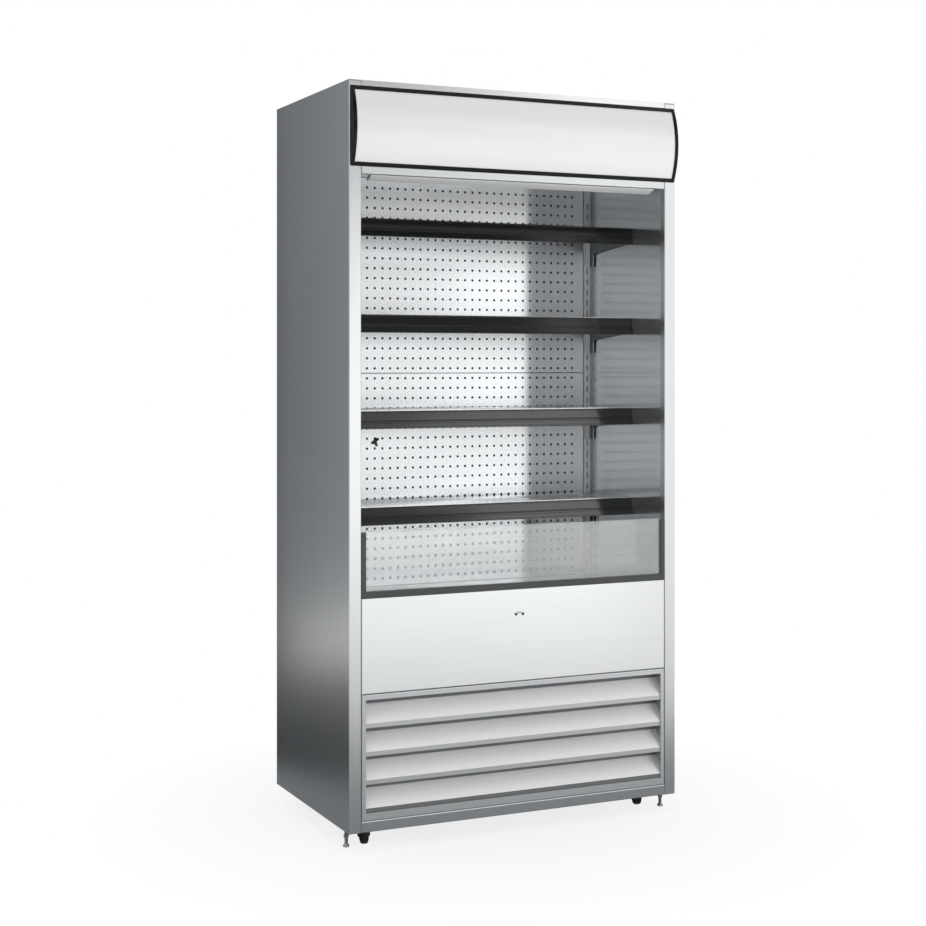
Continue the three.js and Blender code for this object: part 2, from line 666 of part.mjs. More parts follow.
// Upright: a channel with a ladder of slots, counted up and down from the lowest shelf, and
// a flange that stands back beside the side wall.
function upright(name, side) {
  const inner = BAY - UPRIGHT_WIDTH;
  const outer = BAY - UPRIGHT_STEP;
  const section = foldedSheet([
    [BAY, UPRIGHT_FACE + UPRIGHT_DEPTH],
    [BAY, UPRIGHT_FACE + UPRIGHT_STEP],
    [outer, UPRIGHT_FACE + UPRIGHT_STEP],
    [outer, UPRIGHT_FACE],
    [inner, UPRIGHT_FACE],
    [inner, UPRIGHT_FACE + UPRIGHT_DEPTH],
  ], -SHEET);
  const channel = upZ(mirroredSection(section, side), UPRIGHT_BOTTOM, UPRIGHT_TOP);
  const datum = hookSeat(LOWEST_TRAY);
  const first = Math.ceil((UPRIGHT_BOTTOM + SLOT_PITCH / 2 - datum) / SLOT_PITCH);
  const last = Math.floor((UPRIGHT_TOP - SLOT_PITCH - datum) / SLOT_PITCH);
  const slots = [];
  for (let k = first; k <= last; k += 1) {
    const z = datum + k * SLOT_PITCH;
    const mouth = rectangle(
      [side * SLOT_X - SLOT_WIDTH / 2, z],
      [side * SLOT_X + SLOT_WIDTH / 2, z + SLOT_HEIGHT],
    );
    slots.push(alongY(mouth, UPRIGHT_FACE - SHEET, UPRIGHT_FACE + 2 * SHEET));
  }
  return piece(name, cutBy(channel, slots), linerSteel);
}

// Bottom deck: a removable tray with a raised front and the return air slots behind it.
function bottomDeck() {
  const front = FRONT_PANEL_DEPTH + CLEARANCE;
  const lip = FRONT_PANEL_TOP - 4;
  const section = foldedSheet([
    [front, lip],
    [front, DECK - SHEET],
    [BACK_PANEL_FACE + PANEL_RETURN, DECK - SHEET],
  ]);
  const grilleFront = front + SHEET + 8;
  const grille = slotRow(
    BAY - RETURN_GRILLE_PITCH / 2,
    RETURN_GRILLE_PITCH,
    RETURN_GRILLE_PITCH / 4,
    [grilleFront, grilleFront + RETURN_GRILLE_DEPTH],
    [DECK - 3 * SHEET, DECK + SHEET],
  );
  return piece("bottom_deck", cutBy(acrossX(section, -BAY, BAY), grille), linerSteel);
}

// ---- Shelves --------------------------------------------------------------------------------

const TRAY_HALF = WALL - SHELF_SIDE_GAP;
const LEAN = Math.atan2(STRIP_LEAN, STRIP_HEIGHT);
const STRIP_FACE = Math.hypot(STRIP_LEAN, STRIP_HEIGHT);

// A point on the leaning front of a shelf: down its face, and out of it towards the shopper.
const onStrip = (down, out) => [
  SHELF_FRONT - down * Math.sin(LEAN) - out * Math.cos(LEAN),
  -STRIP_DROP - down * Math.cos(LEAN) + out * Math.sin(LEAN),
];

// Tray: flat top, leaning front flange behind the price strip, folded side and rear edges.
function shelfTray() {
  const flangeBack = -STRIP_THICKNESS - CLEARANCE;
  const fold = -(STRIP_DROP - flangeBack * Math.sin(LEAN)) / Math.cos(LEAN);
  const section = foldedSheet([
    onStrip(STRIP_FACE - 3, flangeBack),
    onStrip(fold, flangeBack),
    [SHELF_REAR, 0],
  ], -SHEET);
  const edgeFront = SHELF_FRONT + TRAY_EDGE;
  const sideEdges = sides.map(([, side]) => {
    const x = side * (TRAY_HALF - SHEET / 2);
    const plan = rectangle([x - SHEET / 2, edgeFront], [x + SHEET / 2, SHELF_REAR]);
    return upZ(plan, -TRAY_EDGE, -SHEET / 2);
  });
  const rearHalf = SLOT_X - BRACKET_FLANGE - 2 * BRACKET_PLATE;
  const rearEdge = upZ(
    rectangle([-rearHalf, SHELF_REAR - SHEET], [rearHalf, SHELF_REAR]),
    -TRAY_EDGE,
    -SHEET / 2,
  );
  return joined(acrossX(section, -TRAY_HALF, TRAY_HALF), ...sideEdges, rearEdge);
}

// Price strip: an extrusion with a label face, a groove and beads along its edges.
function priceStrip() {
  const back = -STRIP_THICKNESS;
  const groove = STRIP_FACE * 0.55;
  const face = 1.5;
  const section = outline([
    onStrip(0, back),
    onStrip(0, face),
    onStrip(2.5, face),
    onStrip(4, 0),
    onStrip(groove - 2, 0),
    onStrip(groove - 1, face),
    onStrip(groove + 1, face),
    onStrip(groove + 2, back + 1.5),
    onStrip(groove + 6, back + 1.5),
    onStrip(groove + 7, face / 2),
    onStrip(STRIP_FACE - 4, face / 2),
    onStrip(STRIP_FACE - 2.5, face),
    onStrip(STRIP_FACE, face),
    onStrip(STRIP_FACE, back),
  ]);
  return acrossX(section, -TRAY_HALF, TRAY_HALF);
}

// Bracket: a cantilever plate with a flange along its top edge that the tray lies on, and a
// rear flange against the upright with two hooks that drop into its slots.
function shelfBracket(side) {
  const top = -SHEET - CLEARANCE;
  const rear = UPRIGHT_FACE - CLEARANCE;
  const front = SHELF_FRONT + TRAY_EDGE;
  const legFront = rear - BRACKET_LEG_WIDTH;
  const armFoot = top - BRACKET_ROOT_HEIGHT;
  const seats = [hookSeat(0), hookSeat(0) - HOOK_SPAN_SLOTS * SLOT_PITCH];
  const hookBack = UPRIGHT_FACE + SHEET + CLEARANCE;
  const nib = 4;
  const neck = 9;
  const hook = (seat) => outline([
    [rear - BRACKET_PLATE / 2, seat + neck],
    [rear, seat + neck],
    [hookBack + nib, seat + neck - 2],
    [hookBack + nib, seat - nib],
    [hookBack, seat - nib],
    [hookBack, seat + CLEARANCE],
    [rear - BRACKET_PLATE / 2, seat + CLEARANCE],
  ]);
  const plate = new THREE.Shape();
  plate.moveTo(rear, top);
  plate.lineTo(front, top);
  plate.lineTo(front - 4, top - BRACKET_FRONT_HEIGHT / 2);
  plate.lineTo(front, top - BRACKET_FRONT_HEIGHT);
  plate.lineTo(legFront - 8, armFoot);
  plate.quadraticCurveTo(legFront, armFoot, legFront + 1, armFoot - 8);
  plate.lineTo(legFront + 3, -BRACKET_LEG_HEIGHT);
  plate.lineTo(rear, -BRACKET_LEG_HEIGHT);
  const half = BRACKET_PLATE / 2;
  const across = (section, from, to) => acrossX(section, Math.min(from, to), Math.max(from, to), 4);
  const outer = side * (SLOT_X + BRACKET_OFFSET + half);
  const web = across(plate, outer, outer - side * BRACKET_PLATE);
  const shelfSide = across(
    rectangle([front + 2, top - 2], [rear - 4, top]),
    outer - side * half,
    outer - side * (BRACKET_PLATE + BRACKET_FLANGE),
  );
  const backing = across(
    rectangle([rear - BRACKET_PLATE, -BRACKET_LEG_HEIGHT], [rear, top]),
    outer - side * half,
    outer - side * BRACKET_BACK,
  );
  const hooks = seats.map((seat) =>
    across(hook(seat), side * (SLOT_X - half), side * (SLOT_X + half)));
  return joined(web, shelfSide, backing, ...hooks);
}

function shelves() {
  const tray = shelfTray();
  const strip = priceStrip();
  const brackets = sides.map(([name, side]) => [name, shelfBracket(side)]);
  const group = new THREE.Group();
  for (let level = 1; level <= SHELF_COUNT; level += 1) {
    const shelf = new THREE.Group();
    shelf.position.z = LOWEST_TRAY + (level - 1) * SHELF_PITCH;
    shelf.add(piece(`shelf_tray_${level}`, tray, linerSteel));
    shelf.add(piece(`price_strip_${level}`, strip, blackPlastic));
    for (const [name, bracket] of brackets) {
      shelf.add(piece(`shelf_bracket_${name}_${level}`, bracket, brushedSteel));
    }
    group.add(shelf);
  }
  return group;
}

// ---- Night blind ----------------------------------------------------------------------------

const ROLL_RADIUS = BLIND_ROLL_DIAMETER / 2;
const ROLL_Y = (HEADER_LIP + DUCT_FRONT) / 2 + 4;
const ROLL_Z = CEILING - 10;
const CLOTH_BACK = ROLL_Y - ROLL_RADIUS - CLEARANCE;
const BAR_TOP = HEADER_BOTTOM - 1;

// Roller: the spring tube with the wound cloth on it, and a spindle into each side wall.
function blindRoller() {
  const tube = BLIND_TUBE_DIAMETER / 2;
  const spindle = 4;
  const roll = BLIND_CLOTH_WIDTH / 2 + 2;
  const tubeEnd = BAY - 12;
  const profile = [
    [0, -BAY],
    [spindle, -BAY],
    [spindle, -tubeEnd],
    [tube, -tubeEnd],
    [tube, -roll],
    [ROLL_RADIUS, -roll],
    [ROLL_RADIUS, roll],
    [tube, roll],
    [tube, tubeEnd],
    [spindle, tubeEnd],
    [spindle, BAY],
    [0, BAY],
  ];
  const roller = turned(profile, 16).rotateY(Math.PI / 2).translate(0, ROLL_Y, ROLL_Z);
  return piece("blind_roller", roller, clothPlastic);
}

function blindFabric() {
  const section = rectangle(
    [CLOTH_BACK - BLIND_CLOTH_THICKNESS, BAR_TOP + CLEARANCE],
    [CLOTH_BACK, ROLL_Z],
  );
  const half = BLIND_CLOTH_WIDTH / 2;
  return piece("blind_fabric", acrossX(section, -half, half), clothPlastic);
}

// Bar: a slanting extrusion along the foot of the blind, its broad face down to the shopper.
function blindBar() {
  const front = BLIND_BAR_SETBACK;
  const rear = front + BLIND_BAR_DEPTH;
  const low = BAR_TOP - BLIND_BAR_HEIGHT;
  const section = outline([
    [front, BAR_TOP],
    [front, BAR_TOP - 2.5],
    [rear - 2, low],
    [rear, low + 1],
    [rear, low + 6],
    [rear - 8, BAR_TOP],
  ]);
  const half = BLIND_BAR_LENGTH / 2;
  return piece("blind_bar", acrossX(section, -half, half), aluminium);
}

// ---- Base, castors and feet -----------------------------------------------------------------

const AXLE_RADIUS = AXLE_DIAMETER / 2;
const FORK_INNER = WHEEL_WIDTH / 2 + FORK_GAP;

// Wheel: a tread with rounded shoulders on a bored hub, turned about the x axis.
function castorWheel() {
  const radius = WHEEL_DIAMETER / 2;
  const half = WHEEL_WIDTH / 2;
  const shoulder = 3;
  const bore = AXLE_RADIUS + AXLE_CLEARANCE;
  const hub = bore + 5;
  const profile = [
    [bore, -half],
    [hub, -half],
    [hub + 2, -half + 3],
    [radius - 7, -half + 3],
    [radius - shoulder, -half + 1],
    [radius, -half + 1 + shoulder],
    [radius, half - 1 - shoulder],
    [radius - shoulder, half - 1],
    [radius - 7, half - 3],
    [hub + 2, half - 3],
    [hub, half],
    [bore, half],
    [bore, -half],
  ];
  return turned(profile, 20).rotateY(Math.PI / 2);
}

// The two legs of a fork and the axle between them, with the wheel trailing behind the origin.
function forkLegs(top) {
  const half = FORK_LEG_WIDTH / 2;
  const leg = outline([
    [-half, top],
    [half + CASTOR_TRAIL / 2, top],
    [CASTOR_TRAIL + AXLE_RADIUS + 4, WHEEL_CENTRE + 4],
    [CASTOR_TRAIL + AXLE_RADIUS + 2, WHEEL_CENTRE - 6],
    [CASTOR_TRAIL - AXLE_RADIUS - 2, WHEEL_CENTRE - 6],
    [CASTOR_TRAIL - AXLE_RADIUS - 6, WHEEL_CENTRE + 4],
  ]);
  const legs = sides.map(([, side]) => {
    const x = side * (FORK_INNER + FORK_PLATE / 2);
    return acrossX(leg, x - FORK_PLATE / 2, x + FORK_PLATE / 2);
  });
  const reach = FORK_INNER + FORK_PLATE + 1.5;
  const axle = new THREE.CylinderGeometry(AXLE_RADIUS, AXLE_RADIUS, 2 * reach, 12)
    .rotateZ(Math.PI / 2)
    .translate(0, CASTOR_TRAIL, WHEEL_CENTRE);
  return [...legs, axle];
}

// Swivel fork: the legs under a round crown that turns against the base plate.
function castorFork() {
  const crown = CASTOR_CROWN / 2;
  const top = BASE_PLATE_HEIGHT - CLEARANCE;
  const underside = top - 8;
  const dome = turned([
    [0, underside],
    [crown - 3, underside],
    [crown, underside + 3],
    [crown, top - 3],
    [crown - 4, top],
    [0, top],
  ], 20);
  return joined(dome, ...forkLegs(underside + 2));
}

function frontCastor(name, side, yaw) {
  const castor = new THREE.Group();
  castor.position.set(side * (HALF - CASTOR_INSET), CASTOR_SETBACK, 0);
  castor.rotation.z = THREE.MathUtils.degToRad(yaw);
  castor.add(piece(`front_castor_fork_${name}`, castorFork(), machineBlack));
  const wheel = piece(`front_castor_wheel_${name}`, castorWheel(), castorPlastic);
  wheel.position.set(0, CASTOR_TRAIL, WHEEL_CENTRE);
  castor.add(wheel);
  return castor;
}

const REAR_CASTOR_Y = DEPTH - CASTOR_SETBACK;

function rearWheel(name, side) {
  const wheel = piece(`rear_castor_wheel_${name}`, castorWheel(), castorPlastic);
  wheel.position.set(side * (HALF - CASTOR_INSET), REAR_CASTOR_Y + CASTOR_TRAIL, WHEEL_CENTRE);
  return wheel;
}

// Base: a plate with upturned edges behind the kick rail, and the fixed forks of the rear
// castors welded under it.
function baseFrame() {
  const plateFront = STILE_RETURN + CLEARANCE;
  const plateRear = SIDE_DEPTH - SHEET - CLEARANCE;
  const kick = acrossX(foldedSheet([
    [plateFront + BASE_RAIL / 2, BASE_PLATE_HEIGHT + SHEET / 2],
    [plateFront - CLEARANCE, BASE_PLATE_HEIGHT + SHEET / 2],
    [plateFront - CLEARANCE, KICK_HEIGHT],
    [0, KICK_HEIGHT],
    [0, 0],
    [STILE_RETURN - 4, 0],
  ]), -BAY, BAY);
  const plate = upZ(
    rectangle([-SKIN, plateFront], [SKIN, plateRear]),
    BASE_PLATE_HEIGHT,
    BASE_TOP,
  );
  const bores = sides.map(([, side]) => {
    const bore = new THREE.Shape();
    bore.absarc(side * (HALF - FOOT_INSET), FOOT_SETBACK, FOOT_BORE / 2, 0, 2 * Math.PI);
    return upZ(bore, BASE_PLATE_HEIGHT - 5, BASE_TOP + 5, 8);
  });
  const edge = foldedSheet([
    [SKIN - BASE_PLATE, plateRear],
    [SKIN - BASE_PLATE, plateFront],
  ], -BASE_PLATE);
  const rails = sides.map(([, side]) =>
    upZ(mirroredSection(edge, side), BASE_TOP - BASE_PLATE / 2, BASE_TOP + BASE_RAIL));
  const rearRail = upZ(
    rectangle([-SKIN, plateRear - BASE_PLATE], [SKIN, plateRear]),
    BASE_TOP - BASE_PLATE / 2,
    BASE_TOP + BASE_RAIL,
  );
  const forks = sides.flatMap(([, side]) => {
    const x = side * (HALF - CASTOR_INSET);
    const pad = upZ(
      rectangle([x - CASTOR_CROWN / 2, -CASTOR_CROWN / 2], [x + CASTOR_CROWN / 2, CASTOR_CROWN / 2]),
      BASE_PLATE_HEIGHT - 3,
      BASE_PLATE_HEIGHT + BASE_PLATE / 2,
    ).translate(0, REAR_CASTOR_Y, 0);
    const legs = forkLegs(BASE_PLATE_HEIGHT - 1).map((leg) => leg.translate(x, REAR_CASTOR_Y, 0));
    return [pad, ...legs];
  });
  const body = joined(kick, plate, ...rails, rearRail, ...forks);
  return piece("base_frame", cutBy(body, bores), paintedSteel);
}

// Levelling foot: a screw with a flared pad and a lock nut, through the base plate.
function levellingFoot(name, side) {
  const stem = FOOT_STEM / 2;
  const pad = FOOT_PAD / 2;
  const floor = -GROUND_CLEARANCE;
  const nutTop = -4;
  const nutBottom = -12;
  const screw = turned([
    [0, floor],
    [pad, floor],
    [pad, floor + 5],
    [pad - 2, floor + 7],
    [stem, floor + 10],
    [stem, BASE_TOP + 18],
    [stem - 1, BASE_TOP + 19],
    [0, BASE_TOP + 19],
  ], 16);
  const hexagon = new THREE.CylinderGeometry(FOOT_NUT / 2, FOOT_NUT / 2, nutTop - nutBottom, 6)
    .rotateX(Math.PI / 2)
    .translate(0, 0, (nutTop + nutBottom) / 2);
  const foot = piece(name, joined(screw, hexagon), zincSteel);
  foot.position.set(side * (HALF - FOOT_INSET), FOOT_SETBACK, 0);
  return foot;
}

// ---- Cooling unit ---------------------------------------------------------------------------

// One blade, lofted from hub to tip as its chord widens and its pitch flattens.
function fanBlade(hubRadius, tipRadius, depth) {
  const stations = 5;
  const thickness = 1.6;
  const rings = Array.from({ length: stations }, (_, i) => {
    const t = i / (stations - 1);
    const r = THREE.MathUtils.lerp(hubRadius - 2, tipRadius, t);
    const half = THREE.MathUtils.lerp(0.5, 0.32, t) * r;
    const pitch = THREE.MathUtils.degToRad(THREE.MathUtils.lerp(42, 24, t));
    const sweep = 0.25 * t;
    const corner = (u, w) => {
      const across = u * half * Math.cos(pitch) - w * thickness * Math.sin(pitch);
      const along = u * half * Math.sin(pitch) + w * thickness * Math.cos(pitch);
      const limit = THREE.MathUtils.clamp(along, -depth / 2, depth / 2);
      const angle = sweep + across / r;
      return [r * Math.cos(angle), limit, r * Math.sin(angle)];
    };
    return [corner(-1, -0.5), corner(1, -0.5), corner(1, 0.5), corner(-1, 0.5)];
  });
  return loft(rings);
}

// A closed body over rings of four corners each.
function loft(rings) {
  const positions = rings.flat(2);
  const faces = [[0, 1, 2], [0, 2, 3]];
  for (let i = 0; i < rings.length - 1; i += 1) {
    for (let k = 0; k < 4; k += 1) {
      const a = 4 * i + k;
      const b = 4 * i + ((k + 1) % 4);
      faces.push([a, a + 4, b + 4], [a, b + 4, b]);
    }
  }
  const last = 4 * (rings.length - 1);
  faces.push([last, last + 2, last + 1], [last, last + 3, last + 2]);
  const geometry = new THREE.BufferGeometry();
  geometry.setAttribute("position", new THREE.Float32BufferAttribute(positions, 3));
  geometry.setIndex(faces.flat());
  return geometry;
}

// Fan: blades round a hub with a blind bore, turned about the y axis.
function fan(diameter, depth) {
  const hubRadius = diameter * 0.17;
  const bore = SHAFT_DIAMETER / 2 + AXLE_CLEARANCE;
  const hub = turned([
    [0, -depth / 2],
    [hubRadius - 4, -depth / 2],
    [hubRadius, -depth / 2 + 4],
    [hubRadius, depth / 2],
    [bore, depth / 2],
    [bore, -depth / 4],
    [0, -depth / 4],
  ], 20).rotateX(-Math.PI / 2);
  const blades = Array.from({ length: FAN_BLADES }, (_, k) =>
    fanBlade(hubRadius, diameter / 2, depth * 0.9).rotateY((k * 2 * Math.PI) / FAN_BLADES));
  return joined(hub, ...blades);
}

// Fan plate: a sheet with a rolled ring round the fan, and the motor on three arms behind it.
function fanPlate(width, height, diameter, depth, motorDiameter) {
  const opening = diameter / 2 + FAN_TIP_GAP;
  const sheet = rectangle([-width / 2, -height / 2], [width / 2, height / 2]);
  const hole = new THREE.Path().absarc(0, 0, opening, 0, 2 * Math.PI, true);
  sheet.holes.push(hole);
  const ring = turned([
    [opening, 0],
    [opening + 6, 0],
    [opening + 2, 6],
    [opening + 2, depth],
    [opening, depth],
    [opening, 0],
  ], 32).rotateX(-Math.PI / 2);
  const motorFront = depth + 8;
  const motorRadius = motorDiameter / 2;
  const motor = turned([
    [0, motorFront + MOTOR_LENGTH],
    [motorRadius - 8, motorFront + MOTOR_LENGTH],
    [motorRadius, motorFront + MOTOR_LENGTH - 8],
    [motorRadius, motorFront],
    [SHAFT_DIAMETER / 2, motorFront],
    [SHAFT_DIAMETER / 2, depth * 0.5],
    [0, depth * 0.5],
  ].reverse(), 20).rotateX(-Math.PI / 2);
  const arms = [90, 210, 330].map((degrees) => {
    const arm = foldedSheet([
      [motorRadius - 4, motorFront + 6],
      [opening + 12, motorFront + 6],
      [opening + 12, SHEET / 2],
    ], -3);
    return extrude(arm, 12)
      .translate(0, 0, -6)
      .rotateY(-THREE.MathUtils.degToRad(degrees));
  });
  return joined(alongY(sheet, 0, SHEET, 16), ring, motor, ...arms);
}

// Finned coil: a block of fins with the tube bends standing out of its end plates.
function finnedCoil(width, depth, height, rows, finPitch) {
  const fins = Math.floor(width / finPitch);
  const pitch = width / fins;
  const web = depth / 2;
  const teeth = [];
  for (let i = 0; i < fins; i += 1) {
    const x = -width / 2 + i * pitch;
    teeth.push([x, depth], [x + pitch / 2, depth]);
    teeth.push([x + pitch / 2, depth - web / 2], [x + pitch, depth - web / 2]);
  }
  const comb = outline([[-width / 2, 0], [width / 2, 0], ...teeth.reverse()]);
  const block = upZ(comb, 0, height);
  const tube = 5;
  const rowPitch = height / rows;
  const bends = sides.flatMap(([, side]) => Array.from({ length: rows - (side > 0 ? 0 : 1) }, (_, k) => {
    const z = rowPitch * (k + (side > 0 ? 0.5 : 1));
    const bend = new THREE.TorusGeometry(rowPitch / 4, tube, 5, 5);
    return bend.rotateX(Math.PI / 2).rotateY(Math.PI / 2).rotateX(Math.PI / 2)
      .translate(side * (width / 2), web / 2, z);
  }));
  return joined(block, ...bends);
}

const COIL_X = 130;
const COIL_BOTTOM = BASE_TOP + CLEARANCE;

function condenserCoil() {
  const block = finnedCoil(COIL_WIDTH, COIL_DEPTH, COIL_HEIGHT, 6, CONDENSER_FIN_PITCH);
  const coil = piece("condenser_coil", block, aluminium);
  coil.position.set(COIL_X, COIL_SETBACK, COIL_BOTTOM);
  return coil;
}

function condenserFan() {
  const group = new THREE.Group();
  const centre = COIL_BOTTOM + COIL_HEIGHT / 2;
  group.position.set(COIL_X, COIL_SETBACK + COIL_DEPTH + CLEARANCE, centre);
  const plate = fanPlate(COIL_WIDTH, COIL_HEIGHT, FAN_DIAMETER, SHROUD_DEPTH, MOTOR_DIAMETER);
  group.add(piece("fan_shroud", plate, paintedSteel));
  const rotor = piece("condenser_fan", fan(FAN_DIAMETER, SHROUD_DEPTH * 0.8), aluminium);
  rotor.position.y = SHROUD_DEPTH * 0.5 + 4;
  group.add(rotor);
  return group;
}

// Compressor: a welded steel pot on a foot plate with rubber mounts.
function compressor() {
  const radius = COMPRESSOR_DIAMETER / 2;
  const mount = 18;
  const seam = COMPRESSOR_HEIGHT * 0.55;
  const dome = COMPRESSOR_HEIGHT;
  const pot = turned([
    [0, mount - 8],
    [radius * 0.6, mount - 8],
    [radius * 0.9, mount + 6],
    [radius, mount + 24],
    [radius, seam - 4],
    [radius + 5, seam - 4],
    [radius + 5, seam + 4],
    [radius, seam + 4],
    [radius, dome - 34],
    [radius * 0.88, dome - 14],
    [radius * 0.6, dome - 3],
    [0, dome],
  ], 24);
  const footX = radius + 8;
  const footY = radius * 0.62;
  const plate = upZ(rectangle([-footX - 14, -footY - 14], [footX + 14, footY + 14]), mount, mount + 3);
  const mounts = [[-1, -1], [1, -1], [1, 1], [-1, 1]].map(([a, b]) =>
    turned([[0, 0], [11, 0], [8, mount / 2], [11, mount + 1], [0, mount + 1]], 10)
      .translate(a * footX, b * footY, 0));
  const box = alongY(
    rectangle([radius - 12, mount + 40], [radius + 26, mount + 100]),
    -24,
    24,
  );
  const pipe = new THREE.CylinderGeometry(5, 5, 60, 8)
    .rotateX(Math.PI / 2)
    .translate(-radius * 0.55, 0, dome);
  const unit = piece("compressor", joined(pot, plate, ...mounts, box, pipe), machineBlack);
  unit.position.set(-HALF * 0.52, DEPTH * 0.5, BASE_TOP + CLEARANCE);
  return unit;
}

const EVAPORATOR_Y = BACK_PANEL_FACE - EVAPORATOR_DEPTH - 12;
const EVAPORATOR_BOTTOM = FLOOR_TOP + CLEARANCE;

// Evaporator: the finned coil with its fan plate welded across the front.
function evaporator() {
  const group = new THREE.Group();
  const depth = 26;
  const centre = EVAPORATOR_HEIGHT / 2;
  group.position.set(0, EVAPORATOR_Y, EVAPORATOR_BOTTOM + centre);
  const fins = [EVAPORATOR_WIDTH, EVAPORATOR_DEPTH, EVAPORATOR_HEIGHT, 3, EVAPORATOR_FIN_PITCH];
  const coil = finnedCoil(...fins).translate(0, 0, -centre);
  const plate = fanPlate(EVAPORATOR_WIDTH, EVAPORATOR_HEIGHT, EVAPORATOR_FAN_DIAMETER, depth, 44)
    .rotateZ(Math.PI)
    .translate(0, SHEET / 2, 0);
  group.add(piece("evaporator_coil", joined(coil, plate), aluminium));
  const rotor = fan(EVAPORATOR_FAN_DIAMETER, depth * 0.8).rotateZ(Math.PI);
  const mesh = piece("evaporator_fan", rotor, blackPlastic);
  mesh.position.y = SHEET / 2 - depth * 0.5 - 3;
  group.add(mesh);
  return group;
}

// ---- Assembly -------------------------------------------------------------------------------

const cabinet = new THREE.Group();
cabinet.position.set(0, -(DEPTH - CANOPY_BULGE) / 2, GROUND_CLEARANCE);

for (const [name, side] of sides) {
  cabinet.add(sidePanel(`${name}_side_panel`, side));
  cabinet.add(sideLiner(`${name}_side_liner`, side));
  cabinet.add(upright(`${name}_upright`, side));
  cabinet.add(canopyEnd(`canopy_end_${name}`, side));
  cabinet.add(levellingFoot(`levelling_foot_${name}`, side));
  cabinet.add(rearWheel(name, side));
}

cabinet.add(
  roofPanel(),
  rearPanel(),
  rearWall(),
  insulatedFloor(),
  headerPanel(),
  canopyDiffuser(),
  canopyTrim("canopy_top_trim", 1),
  canopyTrim("canopy_bottom_trim", -1),
  canopyLamp(),
  frontPanel(),
  blindCatch(),
  louvreGrille(),
  glassChannel(),
  glassGuard(),
  ceilingPanel(),
  backPanel("lower_back_panel", DECK + CLEARANCE, SEAM - CLEARANCE),
  backPanel("upper_back_panel", SEAM + CLEARANCE, CEILING - CLEARANCE),
  bottomDeck(),
  shelves(),
  blindRoller(),
  blindFabric(),
  blindBar(),
  baseFrame(),
  frontCastor("left", -1, LEFT_CASTOR_YAW),
  frontCastor("right", 1, RIGHT_CASTOR_YAW),
  condenserCoil(),
  condenserFan(),
  compressor(),
  evaporator(),
);

export default cabinet;
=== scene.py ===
import math

import bmesh
import bpy
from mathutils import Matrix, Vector


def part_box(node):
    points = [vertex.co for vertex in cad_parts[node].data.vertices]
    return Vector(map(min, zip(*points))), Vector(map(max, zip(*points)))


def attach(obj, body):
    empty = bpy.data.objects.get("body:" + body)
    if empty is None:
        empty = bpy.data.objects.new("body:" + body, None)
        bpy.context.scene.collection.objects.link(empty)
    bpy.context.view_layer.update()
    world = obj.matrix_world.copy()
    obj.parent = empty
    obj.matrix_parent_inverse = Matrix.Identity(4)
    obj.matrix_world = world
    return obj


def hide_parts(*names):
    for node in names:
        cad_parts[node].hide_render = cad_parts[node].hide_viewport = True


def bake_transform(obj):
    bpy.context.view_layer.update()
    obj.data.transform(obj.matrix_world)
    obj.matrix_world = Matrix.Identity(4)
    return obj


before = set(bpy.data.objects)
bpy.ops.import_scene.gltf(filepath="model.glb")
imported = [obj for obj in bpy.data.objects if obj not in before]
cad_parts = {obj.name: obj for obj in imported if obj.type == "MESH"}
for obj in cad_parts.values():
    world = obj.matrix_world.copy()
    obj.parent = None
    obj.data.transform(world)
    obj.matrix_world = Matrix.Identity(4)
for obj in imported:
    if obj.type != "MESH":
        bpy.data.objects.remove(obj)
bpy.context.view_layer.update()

# ---- Camera ---------------------------------------------------------------------------------
# The cabinet is seen from its left, from a little under five metres, with the lens level at
# the height of the second shelf. The frame is shifted down so that uprights stay upright.
camera_data = bpy.data.cameras.new("camera")
camera_data.lens = 65.07
camera_data.sensor_width = 36
camera_data.shift_y = -0.1073
camera = bpy.data.objects.new("camera", camera_data)
camera.location = (-2.082, -4.3805, 1.2819)
camera.rotation_euler = (math.radians(90), 0, math.radians(-25))
bpy.context.scene.collection.objects.link(camera)
bpy.context.scene.camera = camera
bpy.context.scene.view_settings.view_transform = "Standard"

# ---- Studio ---------------------------------------------------------------------------------
# A white floor that runs into a white background, softboxes to the front right and overhead, and
# grey flags all round that only mirrors see, for the polished steel to show light and dark.
FLOOR_SIZE = 16
FLOOR_CLEAR_FROM = 0.35
FLOOR_CLEAR_TO = 1.1
CABINET_MIDDLE = Vector((0, 0, 1.1))


def linear(code):
    """The linear values that a shader takes, from an sRGB hex code."""
    channels = [int(code[i:i + 2], 16) / 255 for i in (1, 3, 5)]
    return [c / 12.92 if c <= 0.04045 else ((c + 0.055) / 1.055) ** 2.4 for c in channels] + [1]


def add_node(tree, kind, inputs=None, **settings):
    """A new node with its settings, and its inputs set to a value or linked to a socket."""
    made = tree.nodes.new(kind)
    for name, value in settings.items():
        setattr(made, name, value)
    for socket, value in (inputs or {}).items():
        if isinstance(value, bpy.types.NodeSocket):
            tree.links.new(value, made.inputs[socket])
        else:
            made.inputs[socket].default_value = value
    return made


def seen_directly(tree):
    """1 where a camera, mirror or glass ray arrives, 0 for the light that falls on things."""
    path = add_node(tree, "ShaderNodeLightPath")
    either = add_node(tree, "ShaderNodeMath", {
        0: path.outputs["Is Camera Ray"],
        1: path.outputs["Is Glossy Ray"],
    }, operation="MAXIMUM")
    return add_node(tree, "ShaderNodeMath", {
        0: either.outputs[0],
        1: path.outputs["Is Transmission Ray"],
    }, operation="MAXIMUM").outputs[0]


